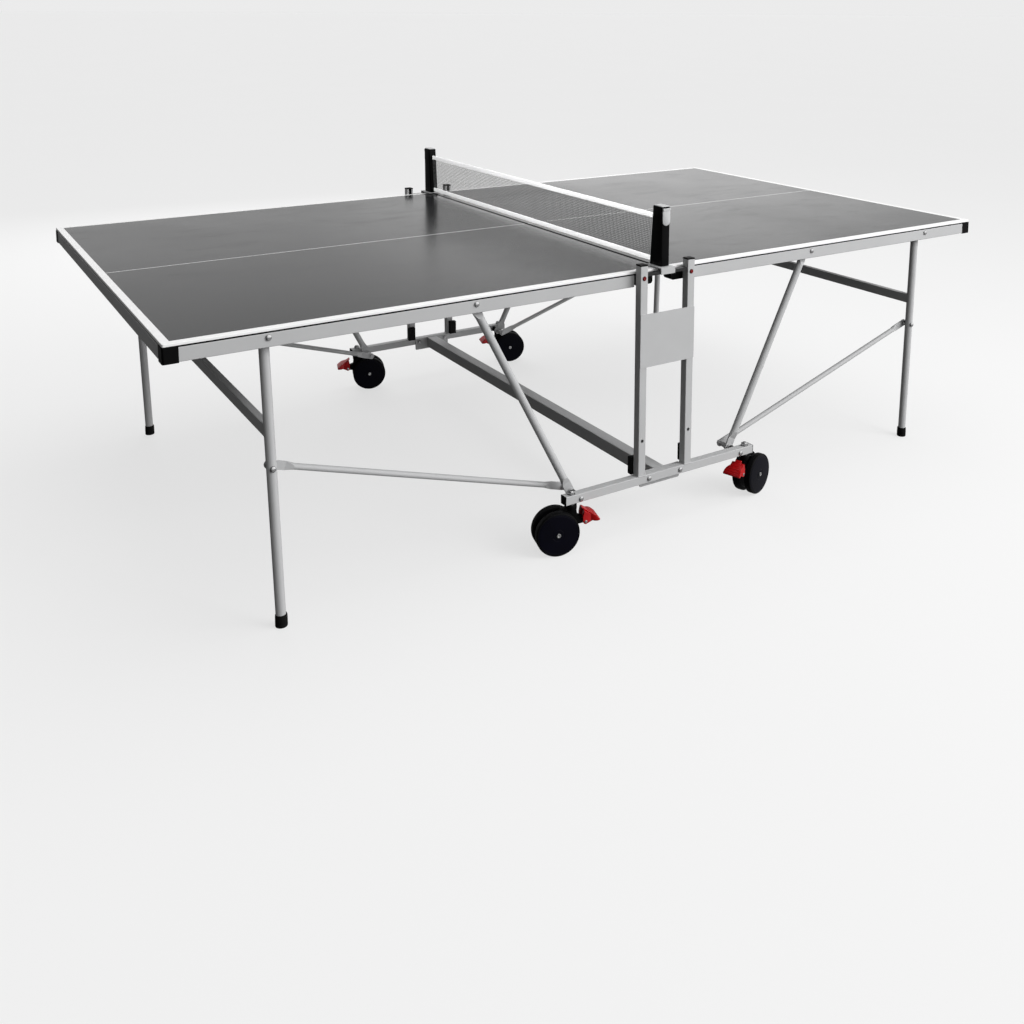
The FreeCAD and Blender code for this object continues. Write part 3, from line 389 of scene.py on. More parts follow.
def finish_cad_nodes():
    """Gives every CAD node its procedural material, and soft edges where its solid is sharp."""
    for part in frame["record"]["subparts"]:
        node = frame["nodes"][part["node"]]
        node.data.materials.clear()
        node.data.materials.append(MATERIALS[part["material_slot"]])
    edge_width = {
        "corner_caps": 0.0010, "hinge_blocks": 0.0012, "net_brackets": 0.0007, "net_support_bars": 0.0006,
        "post_plates": 0.0005, "landing_buffers": 0.0012, "edge_strip": 0.0003,
    }
    for name, node in frame["nodes"].items():
        for start, width in edge_width.items():
            if name.startswith(start):
                weld = node.modifiers.new("joined", "WELD")
                weld.merge_threshold = 1e-5
                bevel = node.modifiers.new("soft_edges", "BEVEL")
                bevel.width = width
                bevel.segments = 3
                bevel.limit_method = "ANGLE"
                bevel.angle_limit = math.radians(35)
                bevel.harden_normals = True


# ---------------------------------------------------------------- mesh tools

def make_piece(name, shape, materials, body, replaced=(), sharp=38.0):
    """Turns a bmesh into a smooth-shaded piece that rides on a body."""
    bmesh.ops.remove_doubles(shape, verts=shape.verts, dist=1e-7)
    bmesh.ops.recalc_face_normals(shape, faces=shape.faces)
    limit = math.radians(sharp)
    for face in shape.faces:
        face.smooth = True
    for edge in shape.edges:
        edge.smooth = len(edge.link_faces) != 2 or edge.calc_face_angle() < limit
    mesh = bpy.data.meshes.new(name)
    shape.to_mesh(mesh)
    shape.free()
    piece = bpy.data.objects.new(name, mesh)
    bpy.context.scene.collection.objects.link(piece)
    for material in materials:
        mesh.materials.append(material)
    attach(piece, body)
    if replaced:
        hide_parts(*replaced)
    return piece


def add_rings(shape, rings, material=0, closed_ends=True):
    """Skins a list of rings of equal length; each ring is a closed loop of points."""
    made = [[shape.verts.new(point) for point in ring] for ring in rings]
    for lower, upper in zip(made, made[1:]):
        count = len(lower)
        for k in range(count):
            after = (k + 1) % count
            face = shape.faces.new((lower[k], lower[after], upper[after], upper[k]))
            face.material_index = material
    if closed_ends:
        for ring in (made[0], made[-1]):
            shape.faces.new(ring).material_index = material


def facing(origin, axis):
    """A matrix that puts local Z on the axis, at the origin."""
    return Matrix.Translation(origin) @ axis.to_track_quat("Z", "X").to_matrix().to_4x4()


def outward(low, high):
    """The frame at the inner end of a solid that lies along Y, with local Z away from the middle."""
    side = 1 if low.y > 0 else -1
    mid = (low + high) / 2
    return facing(Vector((mid.x, side * min(abs(low.y), abs(high.y)), mid.z)), Y_AXIS * side)


def add_lathe(shape, profile, matrix, count=40, materials=None):
    """Revolves (radius, height) points round local Z. A zero radius closes the end to a point."""
    loops = []
    for radius, height in profile:
        if radius < 1e-7:
            loops.append([shape.verts.new(matrix @ Vector((0, 0, height)))])
            continue
        loop = []
        for k in range(count):
            turn = 2 * math.pi * k / count
            point = Vector((radius * math.cos(turn), radius * math.sin(turn), height))
            loop.append(shape.verts.new(matrix @ point))
        loops.append(loop)
    for step, (lower, upper) in enumerate(zip(loops, loops[1:])):
        for k in range(count):
            after = (k + 1) % count
            corners = [lower[k % len(lower)], lower[after % len(lower)]]
            corners += [upper[after % len(upper)], upper[k % len(upper)]]
            unique = list(dict.fromkeys(corners))
            if len(unique) > 2:
                shape.faces.new(unique).material_index = materials[step] if materials else 0


def add_hexagon(shape, matrix, across, low, high, chamfer=0.0006):
    """A hexagonal nut or head with chamfered rims."""
    radius = across / math.sqrt(3)
    rings = []
    for height, size in ((low, 0.90), (low + chamfer, 1.0), (high - chamfer, 1.0), (high, 0.90)):
        turns = [math.pi * k / 3 for k in range(6)]
        rings.append([
            matrix @ Vector((radius * size * math.cos(t), radius * size * math.sin(t), height)) for t in turns
        ])
    add_rings(shape, rings)


def rounded_rectangle(half_x, half_y, radius, steps=5):
    """Corner points of a rounded rectangle round the origin, anticlockwise."""
    points = []
    for quarter, (sx, sy) in enumerate(((1, 1), (-1, 1), (-1, -1), (1, -1))):
        for k in range(steps + 1):
            turn = math.pi / 2 * (quarter + k / steps)
            x = sx * (half_x - radius) + radius * math.cos(turn)
            y = sy * (half_y - radius) + radius * math.sin(turn)
            points.append((x, y))
    return points


def dome(radius, height, lip):
    """Profile of a domed head from its seat up to its crown."""
    points = [(radius - lip, 0.0), (radius, lip * 0.5), (radius, lip)]
    steps = 7
    for k in range(1, steps):
        turn = math.pi / 2 * k / steps
        points.append((radius * math.cos(turn), lip + (height - lip) * math.sin(turn)))
    return points + [(0.0, height)]


def add_thread(shape, matrix, radius, low, high, pitch=0.00125):
    """A short threaded end, drawn as rings that step in and out."""
    profile = [(0.0, low), (radius, low)]
    turns = max(1, int((high - low) / pitch))
    for k in range(turns):
        start = low + k * pitch
        profile += [(radius, start + pitch * 0.2), (radius * 0.88, start + pitch * 0.6)]
    profile += [(radius * 0.85, high), (0.0, high)]
    add_lathe(shape, profile, matrix, 20)


# ---------------------------------------------------------------- net

def net_half_width(z):
    """Half the net's width at a height, between the leaning inner faces of its posts."""
    low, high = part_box("net_mesh")
    share = (z - low.z) / (high.z - low.z)
    return high.y - NET_LEAN * (1 - share)


def net_netting():
    """Square netting of round threads, knotted where they cross."""
    low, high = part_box("net_mesh")
    rng = random.Random(7)
    bottom = low.z + TAPE_WIDTH * 0.5
    top = high.z - TAPE_WIDTH * 0.5
    rows = int((top - bottom) / ROW_PITCH)
    columns = int(2 * net_half_width(top) / COLUMN_PITCH)
    knots = []
    for row in range(rows + 1):
        z = bottom + (top - bottom) * row / rows
        half = net_half_width(z)
        line = []
        for column in range(columns + 1):
            y = -half + 2 * half * column / columns
            sway = 0.0006 * math.sin(3.1 * y + 2.0) + 0.0004 * math.sin(11.0 * y)
            sway *= math.sin(math.pi * row / rows)
            line.append(Vector((
                sway + rng.uniform(-0.00012, 0.00012), y + rng.uniform(-0.00035, 0.00035),
                z + rng.uniform(-0.00035, 0.00035)
            )))
        knots.append(line)
    shape = bmesh.new()
    turns = [math.pi * k / 3 for k in range(6)]
    level = [THREAD_RADIUS * Vector((math.cos(t), 0, math.sin(t))) for t in turns]
    upright = [THREAD_RADIUS * Vector((math.cos(t), math.sin(t), 0)) for t in turns]
    for line in knots:
        add_rings(shape, [[point + offset for offset in level] for point in line])
    for column in range(columns + 1):
        add_rings(shape, [[line[column] + offset for offset in upright] for line in knots])
    for line in knots[1:-1]:
        for point in line[1:-1]:
            tips = [
                shape.verts.new(point + axis * KNOT_RADIUS * sign)
                for axis in (X_AXIS, Y_AXIS, Z_AXIS) for sign in (1, -1)
            ]
            for a in (0, 1):
                for b in (2, 3):
                    for c in (4, 5):
                        shape.faces.new((tips[a], tips[b], tips[c]))
    return make_piece(
        "net_netting", shape, [MATERIALS["net_fabric"]], "carriage", ["net_mesh"], 80.0
    )


def net_tapes():
    """The two folded cotton tapes that bind the top and the bottom of the net."""
    low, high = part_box("net_tapes")
    shape = bmesh.new()
    stations = 220
    section = rounded_rectangle(TAPE_HALF_THICKNESS, TAPE_WIDTH / 2, TAPE_ROUND, 4)
    for centre, phase in ((low.z + TAPE_WIDTH / 2, 0.7), (high.z - TAPE_WIDTH / 2, 2.1)):
        rings = []
        half = net_half_width(centre)
        for k in range(stations + 1):
            y = -half + 2 * half * k / stations
            swell = 1.0 + 0.10 * math.sin(47.0 * y + phase) + 0.06 * math.sin(131.0 * y)
            lean = 0.00035 * math.sin(5.3 * y + phase)
            rings.append([Vector((a * swell + lean, y, centre + b)) for a, b in section])
        add_rings(shape, rings)
    return make_piece(
        "net_tape_pair", shape, [MATERIALS["white_tape"]], "carriage", ["net_tapes"], 60.0
    )


def net_posts():
    """The two black net posts: rounded, narrowing to the top on the side of the net."""
    shape = bmesh.new()
    for low, high in solids("net_posts"):
        side = 1 if low.y > 0 else -1
        outer = high.y if side > 0 else -low.y
        inner_low = low.y if side > 0 else -high.y
        rings = []
        rim = 0.0012
        heights = [(0.0, rim), (rim * 0.4, rim * 0.35), (rim, 0.0)]
        total = high.z - low.z
        levels = heights + [(total * k / 6, 0.0) for k in range(1, 6)]
        levels += [(total - rise, inset) for rise, inset in reversed(heights)]
        for rise, inset in levels:
            inner = inner_low + POST_LEAN * rise / total
            half_y = (outer - inner) / 2
            mid_y = (outer + inner) / 2
            half_x = (high.x - low.x) / 2
            ring = rounded_rectangle(half_x - inset, half_y - inset, POST_ROUND - inset * 0.5, 5)
            rings.append([Vector((a, side * (mid_y + b), low.z + rise)) for a, b in ring])
        add_rings(shape, rings)
    return make_piece(
        "net_post_pair", shape, [MATERIALS["black_plastic"]], "carriage", ["net_posts"]
    )


def clip_outline(half, low, high, inset):
    """A plate outline with a round lower end."""
    points = [(half - inset, high - inset), (-half + inset, high - inset)]
    centre = low + half
    steps = 16
    for k in range(steps + 1):
        turn = math.pi + math.pi * k / steps
        points.append(((half - inset) * math.cos(turn), centre + (half - inset) * math.sin(turn)))
    return points


def add_clip_plate(shape, low, high):
    """A clamp plate with a folded lip along its top."""
    side = 1 if low.y > 0 else -1
    half = (high.x - low.x) / 2
    base = min(abs(low.y), abs(high.y))
    layers = ((0.0, 0.0), (0.0022, 0.0), (0.0028, 0.0002), (0.0031, 0.0007))
    add_rings(shape, [
        [Vector((a, side * (base + rise), b)) for a, b in clip_outline(half, low.z, high.z, inset)]
        for rise, inset in layers
    ])
    lip = rounded_rectangle(half, CLIP_LIP, 0.0012, 3)
    lip_z = high.z - CLIP_LIP
    add_rings(shape, [
        [Vector((a * across, side * (base + rise), lip_z + b * along)) for a, b in lip]
        for rise, across, along in ((0.0, 1.0, 1.0), (0.0050, 1.0, 1.0), (0.0056, 0.98, 0.90))
    ])


def add_top_cover(shape, low, high):
    """A low curved cover on the top of a net post."""
    mid = (low + high) / 2
    half_x, half_y = (high.x - low.x) / 2, (high.y - low.y) / 2
    rings = []
    for rise, inset in ((0.0, 0.0), (0.0010, 0.0), (0.0018, 0.0008), (0.0023, 0.0025), (0.0025, 0.0060)):
        corner = max(0.0010, 0.0038 - inset * 0.4)
        outline = rounded_rectangle(half_x - inset, half_y - inset, corner, 5)
        rings.append([Vector((a + mid.x, b + mid.y, low.z + rise)) for a, b in outline])
    add_rings(shape, rings)


def net_clips():
    """Grey clamp plates on the outside of the net posts, and the curved grey cover on each top."""
    shape = bmesh.new()
    for low, high in solids("net_clips"):
        if high.z - low.z > 0.02:
            add_clip_plate(shape, low, high)
        else:
            add_top_cover(shape, low, high)
    make_piece(
        "net_clip_set", shape, [MATERIALS["grey_plastic"]], "carriage", ["net_clips"]
    )


def build_net():
    netting = net_netting()
    tapes = net_tapes()
    net_posts()
    net_clips()
    return tapes


# ---------------------------------------------------------------- casters

def caster_matrix(place):
    """Local frame of a caster: origin on the floor under its stem, X along its trail."""
    stem = Vector(joint("swivel_" + place)["pos_m"])
    axle = Vector(joint("roll_" + place)["pos_m"])
    turn = math.atan2(axle.y - stem.y, axle.x - stem.x)
    trail = math.hypot(axle.x - stem.x, axle.y - stem.y)
    return Matrix.Translation((stem.x, stem.y, 0)) @ Matrix.Rotation(turn, 4, "Z"), trail


def wheel_profile():
    """(radius, distance from the middle plane) round a wheel: tyre with grooves, then a domed disc."""
    groove = WHEEL_RADIUS - 0.0007
    tyre = [
        (0.0056, 0.0125), (0.0500, 0.0125), (0.0520, 0.0104), (0.0572, 0.0102), (0.0604, 0.0106),
        (0.0621, 0.0124), (WHEEL_RADIUS, 0.0145),
    ]
    for middle in (0.0175, 0.0245):
        tyre += [(WHEEL_RADIUS, middle - 0.0007), (groove, middle - 0.0003)]
        tyre += [(groove, middle + 0.0003), (WHEEL_RADIUS, middle + 0.0007)]
    tyre += [
        (WHEEL_RADIUS, 0.0272), (0.0620, 0.0292), (0.0606, 0.0308), (0.0586, 0.0314), (0.0580, 0.0309),
    ]
    disc = [
        (0.0574, 0.0309), (0.0568, 0.0314), (0.0540, 0.0318), (0.0535, 0.0315), (0.0530, 0.0318),
        (0.0450, 0.0322), (0.0300, 0.0327), (0.0170, 0.0330), (0.0164, 0.0326), (0.0156, 0.0326),
        (0.0150, 0.0330), (0.0090, 0.0331), (0.0082, 0.0324), (0.0056, 0.0324),
    ]
    return tyre, disc


def caster_wheels(place):
    matrix, trail = caster_matrix(place)
    shape = bmesh.new()
    tyre, disc = wheel_profile()
    profile = tyre + disc + tyre[:1]
    indices = [0] * (len(tyre) - 1) + [1] * (len(disc) + 1)
    for side in (1, -1):
        axis = facing(Vector((trail, 0, WHEEL_RADIUS)), Y_AXIS * side)
        add_lathe(shape, profile, matrix @ axis, 72, indices)
    make_piece(
        "wheel_pair_" + place, shape, [TYRE, MATERIALS["wheel_plastic"]], "wheels_" + place,
        ["caster_wheels_" + place], 28.0,
    )


def add_slab(shape, matrix, outline, low, high, rim):
    """A plate between two Y planes from an outline in XZ, with its rims rounded by insetting the ends."""
    centre = Vector((sum(p[0] for p in outline), 0, sum(p[1] for p in outline))) / len(outline)
    width = max(abs(p[0] - centre.x) + abs(p[1] - centre.z) for p in outline)
    lower = [(low, rim), (low + rim * 0.35, rim * 0.3), (low + rim, 0)]
    upper = [(high - rim, 0), (high - rim * 0.35, rim * 0.3), (high, rim)]
    rings = []
    for y, inset in lower + upper:
        size = 1 - inset / width
        middle = Vector((centre.x, y, centre.z))
        rings.append([
            matrix @ (middle + Vector((x - centre.x, 0, z - centre.z)) * size) for x, z in outline
        ])
    add_rings(shape, rings)


def arc(cx, cz, radius, start, end, steps):
    """Points on an arc in XZ, with angles in degrees."""
    points = []
    for k in range(steps + 1):
        turn = math.radians(start + (end - start) * k / steps)
        points.append((cx + radius * math.cos(turn), cz + radius * math.sin(turn)))
    return points


def caster_housing(place):
    """The moulded body between the wheels, with its swivel head."""
    matrix, trail = caster_matrix(place)
    shape = bmesh.new()
    outline = [(-0.0130, 0.1285), (0.0130, 0.1285), (0.0180, 0.1262)]
    outline += arc(trail, WHEEL_RADIUS, 0.0500, 82, 10, 10)
    outline += arc(trail, WHEEL_RADIUS, 0.0240, -8, -170, 10)
    outline += [(0.0040, 0.0740), (-0.0150, 0.0760)]
    outline += arc(LEVER_PIN.x, LEVER_PIN.z, 0.0080, -80, -260, 8)
    outline += [(-0.0160, 0.1020)]
    add_slab(shape, matrix, outline, -BODY_HALF_WIDTH, BODY_HALF_WIDTH, 0.0016)
    head = [
        (0.0, 0.1180), (0.0135, 0.1180), (0.0160, 0.1200), (0.0165, 0.1225), (0.0165, 0.1300),
        (0.0158, 0.1308), (0.0158, 0.1316), (0.0165, 0.1322), (0.0163, 0.1334), (0.0, 0.1334),
    ]
    add_lathe(shape, head, matrix @ facing(Vector((0, 0, 0)), Z_AXIS), 40)
    make_piece(
        "caster_body_" + place, shape, [MATERIALS["black_plastic"]], "caster_" + place,
        ["caster_housing_" + place],
    )


def caster_pins(place):
    """The axle and the lever pin of a caster, with riveted ends."""
    matrix, trail = caster_matrix(place)
    axle = [
        (0.0050, 0.0), (0.0050, 0.0334), (0.0064, 0.0334), (0.0064, 0.0340), (0.0058, 0.0350),
        (0.0036, 0.0353), (0.0030, 0.0349), (0.0, 0.0349),
    ]
    rivet = [(0.0030, 0.0), (0.0030, 0.0218), (0.0042, 0.0219), (0.0042, 0.0226), (0.0030, 0.0231)]
    rivet += [(0.0, 0.0232)]
    shape = bmesh.new()
    for side in (1, -1):
        add_lathe(shape, axle, matrix @ facing(Vector((trail, 0, WHEEL_RADIUS)), Y_AXIS * side), 32)
        add_lathe(shape, rivet, matrix @ facing(LEVER_PIN, Y_AXIS * side), 24)
    make_piece("caster_pins_" + place, shape, [MATERIALS["bright_steel"]], "caster_" + place)


def brake_lever(place):
    """A red foot lever: a wedge pedal that fans out to its tip, on two arms that hang on the lever pin."""
    matrix, _ = caster_matrix(place)
    shape = bmesh.new()
    stations = (  # place along X, top, bottom and half width
        (-0.0295, 0.1232, 0.1196, 0.0098), (-0.0330, 0.1226, 0.1176, 0.0106),
        (-0.0375, 0.1190, 0.1128, 0.0118), (-0.0425, 0.1150, 0.1070, 0.0142),
        (-0.0480, 0.1118, 0.0960, 0.0190), (-0.0540, 0.1092, 0.0884, 0.0232),
        (-0.0610, 0.1058, 0.0866, 0.0264), (-0.0680, 0.1003, 0.0868, 0.0286),
        (-0.0730, 0.0958, 0.0874, 0.0292), (-0.0760, 0.0930, 0.0886, 0.0286),
        (-0.0768, 0.0918, 0.0896, 0.0272),
    )
    rings = []
    for x, top, bottom, half in stations:
        thick = (top - bottom) / 2
        ring = []
        for a, b in rounded_rectangle(half, thick, min(0.0018, thick * 0.9), 5):
            dish = 0.0008 * (1 - (a / half) ** 2) if b > 0 else 0.0
            ring.append(matrix @ Vector((x, a, (top + bottom) / 2 + b - dish)))
        rings.append(ring)
    add_rings(shape, rings)
    for x, top, bottom, half in stations[4:9]:
        tread = rounded_rectangle(0.0009, 0.0010, 0.0006, 3)
        reach = half * 0.80
        add_rings(shape, [
            [matrix @ Vector((x + a, y, top - 0.0003 + b)) for a, b in tread] for y in (-reach, reach)
        ])
    arm = [(-0.0330, 0.1170), (-0.0420, 0.1110), (-0.0540, 0.1050), (-0.0610, 0.0960), (-0.0620, 0.0886)]
    arm += [(-0.0520, 0.0850)]
    arm += arc(LEVER_PIN.x, LEVER_PIN.z, LEVER_EAR, 258, 360, 10)
    arm += [(-0.0290, 0.1000)]
    for low, high in ((-ARM_OUTER, -ARM_INNER), (ARM_INNER, ARM_OUTER)):
        add_slab(shape, matrix, arm, low, high, 0.0010)
    make_piece(
        "brake_pedal_" + place, shape, [MATERIALS["red_plastic"]], "lever_" + place,
        ["brake_lever_" + place],
    )


# ---------------------------------------------------------------- small parts

def lock_button(place):
    """A red push button with a dished face, and the black bezel that it moves through."""
    low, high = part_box("lock_button_" + place)
    side = 1 if low.y > 0 else -1
    mid = (low + high) / 2
    length = high.y - low.y
    shape = bmesh.new()
    profile = [(0.0, 0.0), (BUTTON_FLANGE, 0.0), (BUTTON_FLANGE, 0.0016), (BUTTON_RADIUS, 0.0016)]
    profile += [(BUTTON_RADIUS, length - 0.0012), (BUTTON_RADIUS - 0.0004, length - 0.0004)]
    profile += [(BUTTON_RADIUS - 0.0012, length - 0.0001), (0.0031, length)]
    profile += [(0.0028, length - 0.0004), (0.0018, length - 0.0007), (0.0, length - 0.0008)]
    add_lathe(shape, profile, outward(low, high), 40)
    make_piece(
        "push_button_" + place, shape, [BUTTON_RED], "button_" + place,
        ["lock_button_" + place],
    )
    bezel = bmesh.new()
    face = facing(Vector((mid.x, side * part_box("guide_posts")[1].y, mid.z)), Y_AXIS * side)
    ring = [(BEZEL_INNER, -0.0010), (BEZEL_INNER, 0.0006), (0.0054, 0.0009), (0.0061, 0.0009)]
    ring += [(0.0066, 0.0006), (0.0067, 0.0), (0.0067, -0.0002), (0.0060, -0.0010), (BEZEL_INNER, -0.0010)]
    add_lathe(bezel, ring, face, 40)
    make_piece("button_bezel_" + place, bezel, [MATERIALS["black_plastic"]], "carriage")


def foot_caps(side):
    """Rubber boots with a hollow sole and a groove round the base."""
    shape = bmesh.new()
    for low, high in solids("foot_caps_" + side):
        mid = (low + high) / 2
        axis = facing(Vector((mid.x, mid.y, 0)), Z_AXIS)
        profile = [
            (0.0, 0.0006), (0.0080, 0.0006), (0.0084, 0.0), (0.0128, 0.0), (0.0146, 0.0008),
            (0.0152, 0.0026), (0.0152, 0.0086), (0.0150, 0.0091), (0.0142, 0.0094), (0.0142, 0.0106),
            (0.0150, 0.0109), (0.0152, 0.0114), (0.0151, 0.0200), (0.0149, 0.0270), (0.0146, 0.0300),
            (0.0138, 0.0315), (0.0129, 0.0320), (0.0122, 0.0318), (0.0, 0.0318),
        ]
        add_lathe(shape, profile, axis, 48)
    make_piece(
        "foot_boots_" + side, shape, [MATERIALS["black_rubber"]], "leg_frame_" + side,
        ["foot_caps_" + side],
    )


def add_bolt(shape, low, high):
    """The domed head and the shank of a bolt along Y. Returns the frame of its inner end."""
    mid = (low + high) / 2
    side = 1 if mid.y > 0 else -1
    outer = max(abs(low.y), abs(high.y))
    inner = min(abs(low.y), abs(high.y))
    seat = outer - HEAD_HEIGHT
    axis = facing(Vector((mid.x, side * seat, mid.z)), Y_AXIS * side)
    head = [(0.0, -0.0004), (HEAD_RADIUS * 0.95, -0.0004)] + dome(HEAD_RADIUS, HEAD_HEIGHT, 0.0006)
    add_lathe(shape, head, axis, 36)
    start, end = SHANK_START, seat - inner
    inner_end = outward(low, high)
    add_lathe(shape, [(0.0, start), (SHANK_RADIUS, start), (SHANK_RADIUS, end), (0.0, end)], inner_end, 20)
    return inner_end


def add_nut(shape, inner_end):
    """A hexagonal nut on the inner end of a bolt, with the thread that passes through it."""
    add_hexagon(shape, inner_end, NUT_ACROSS, 0.0, NUT_HEIGHT)
    add_thread(shape, inner_end, THREAD_RADIUS_M8, -0.0012, THREAD_OUT)


def bolts(node, body, name):
    """Domed bolts with nuts, and the washers or spacer rings in the same node."""
    shape = bmesh.new()
    for low, high in solids(node):
        length = high.y - low.y
        if length > SHORTEST_BOLT:
            add_nut(shape, add_bolt(shape, low, high))
            continue
        rim = 0.0006
        radius = (high.z - low.z) / 2
        washer = [(BORE_RADIUS, 0.0), (radius - rim, 0.0), (radius, rim), (radius, length - rim)]
        washer += [(radius - rim, length), (BORE_RADIUS, length), (BORE_RADIUS, 0.0)]
        add_lathe(shape, washer, outward(low, high), 32)
    make_piece(name, shape, [MATERIALS["bright_steel"]], body, [node])


def add_stem(shape, low, high):
    """A caster's stem through the rail, with a collar below, and a washer and a domed cap nut on top."""
    mid = (low + high) / 2
    axis = facing(Vector((mid.x, mid.y, 0)), Z_AXIS)
    rail_low, rail_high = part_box("rails")
    seat = rail_high.z
    under = rail_low.z - 0.0002
    stem = [(0.0, low.z), (STEM_RADIUS - 0.0004, low.z), (STEM_RADIUS, low.z + 0.0006)]
    stem += [(STEM_RADIUS, HEAD_TOP), (STEM_COLLAR, HEAD_TOP), (STEM_COLLAR, under)]
    stem += [(STEM_RADIUS, under + 0.0002), (STEM_RADIUS, seat), (0.0, seat)]
    add_lathe(shape, stem, axis, 32)
    nut_low = seat + STEM_WASHER
    washer = [(STEM_RADIUS, seat), (STEM_COLLAR - 0.0002, seat), (STEM_COLLAR, seat + 0.0003)]
    washer += [(STEM_COLLAR, nut_low - 0.0003), (STEM_COLLAR - 0.0003, nut_low), (STEM_RADIUS, nut_low)]
    add_lathe(shape, washer, axis, 36)
    add_hexagon(shape, axis, STEM_NUT_ACROSS, nut_low, nut_low + STEM_NUT_HEIGHT, 0.0010)
    crown = nut_low + STEM_NUT_HEIGHT - 0.0002
    rise = high.z - crown
    radius = 0.0074
    steps = 7
    cap = [(0.0, crown), (radius, crown)]
    for k in range(1, steps):
        turn = math.pi / 2 * k / steps
        cap.append((radius * math.cos(turn), crown + rise * math.sin(turn)))
    add_lathe(shape, cap + [(0.0, high.z)], axis, 32)


def carriage_bolts():
    """Flange bolts, link bolts, and the caster stems with their nuts and washers."""
    plain_end = [(0.0, 0.0), (SHANK_RADIUS - 0.0004, 0.0), (SHANK_RADIUS, 0.0004), (SHANK_RADIUS, 0.0074)]
    plain_end += [(0.0, 0.0074)]
    beam_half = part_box("crossbeam")[1].x
    shape = bmesh.new()
    for low, high in solids("carriage_fasteners"):
        if high.z - low.z > 2 * SHORTEST_BOLT:
            add_stem(shape, low, high)
            continue
        inner_end = add_bolt(shape, low, high)
        if abs(low.x) < beam_half:
            add_nut(shape, inner_end)
        else:
            add_lathe(shape, plain_end, inner_end, 20)
    make_piece(
        "carriage_bolts", shape, [MATERIALS["bright_steel"]], "carriage",
        ["carriage_fasteners"],
    )


def link_spacers():
    """Black spacer rings with a slight waist, between the links and the rails."""
    shape = bmesh.new()
    for low, high in solids("link_spacers"):
        length = high.y - low.y
        radius = (high.z - low.z) / 2
        waist = radius - 0.0006
        profile = [
            (BORE_RADIUS, 0.0), (radius - 0.001, 0.0), (radius, 0.001), (radius, 0.0035), (waist, 0.0042),
            (waist, length - 0.0042), (radius, length - 0.0035), (radius, length - 0.001),
            (radius - 0.001, length), (BORE_RADIUS, length), (BORE_RADIUS, 0.0),
        ]
        add_lathe(shape, profile, outward(low, high), 40)
    make_piece(
        "spacer_rings", shape, [MATERIALS["black_plastic"]], "carriage", ["link_spacers"]
    )


# ---------------------------------------------------------------- welds

def add_bead(shape, path, radius=WELD_RADIUS):
    """A closed weld bead along a loop of points, rippled like stacked coins."""
    count = len(path)
    turns = [math.pi * j / 3 for j in range(6)]
    made = []
    length = 0.0
    for k, point in enumerate(path):
        along = (path[(k + 1) % count] - path[k - 1]).normalized()
        side = along.orthogonal().normalized()
        up = along.cross(side)
        ripple = radius * (1 + 0.16 * abs(math.sin(math.pi * length / WELD_RIPPLE)))
        ring = [point + (side * math.cos(t) + up * math.sin(t)) * ripple for t in turns]
        made.append([shape.verts.new(p) for p in ring])
        length += (path[(k + 1) % count] - point).length
    for k in range(count):
        lower, upper = made[k], made[(k + 1) % count]

        def twist(shift):
            return sum((lower[j].co - upper[(j + shift) % 6].co).length for j in range(6))

        best = min(range(6), key=twist)
        for j in range(6):
            shape.faces.new((lower[j], lower[(j + 1) % 6], upper[(j + 1 + best) % 6], upper[(j + best) % 6]))


def dense_rectangle(half_a, half_b, radius, step=0.0007):
    """Evenly spaced points round a rounded rectangle."""
    corners = [Vector((a, b)) for a, b in rounded_rectangle(half_a, half_b, radius, 6)]
    points = []
    for k, corner in enumerate(corners):
        following = corners[(k + 1) % len(corners)]
        pieces = max(1, round((following - corner).length / step))
        points += [corner.lerp(following, j / pieces) for j in range(pieces)]
    return points


def carriage_welds():
    """Beads at the feet of the guide posts and at both ends of the crossbeam."""
    shape = bmesh.new()
    for low, high in solids("guide_posts"):
        mid = (low + high) / 2
        outline = dense_rectangle((high.x - low.x) / 2, (high.y - low.y) / 2, 0.0018)
        add_bead(shape, [Vector((mid.x + a, mid.y + b, low.z)) for a, b in outline])
    beam_low, beam_high = max(solids("crossbeam"), key=lambda pair: pair[1].y - pair[0].y)
    mid = (beam_low + beam_high) / 2
    outline = dense_rectangle((beam_high.x - beam_low.x) / 2, (beam_high.z - beam_low.z) / 2, 0.003)
    for y in (beam_low.y, beam_high.y):
        add_bead(shape, [Vector((mid.x + a, y, mid.z + b)) for a, b in outline])
    make_piece("carriage_welds", shape, [MATERIALS["grey_steel"]], "carriage", sharp=60.0)


def leg_welds(side):
    """Beads where the crossbar meets the two leg tubes."""
    low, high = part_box("leg_crossbar_" + side)
    shape = bmesh.new()
    mid = (low + high) / 2
    half_x, half_z = (high.x - low.x) / 2, (high.z - low.z) / 2
    top = Vector(joint("leg_fold_" + side)["pos_m"])
    foot_low, foot_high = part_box("foot_caps_" + side)
    foot_x = (foot_low.x + foot_high.x) / 2
    slope = (top.x - foot_x) / top.z
    for tube_low, tube_high in solids("leg_tubes_" + side):
        leg_y = (tube_low.y + tube_high.y) / 2
        inward = -1 if leg_y > 0 else 1
        path = []
        for a, b in dense_rectangle(half_x, half_z, 0.002):
            z = mid.z + b
            off = mid.x + a - (foot_x + slope * z)
            reach = math.sqrt(max(0.0, LEG_RADIUS ** 2 - off ** 2))
            path.append(Vector((mid.x + a, leg_y + inward * reach, z)))
        add_bead(shape, path, LEG_WELD_RADIUS)
    make_piece(
        "leg_welds_" + side, shape, [MATERIALS["grey_steel"]], "leg_frame_" + side, sharp=60.0
    )


# ---------------------------------------------------------------- stage

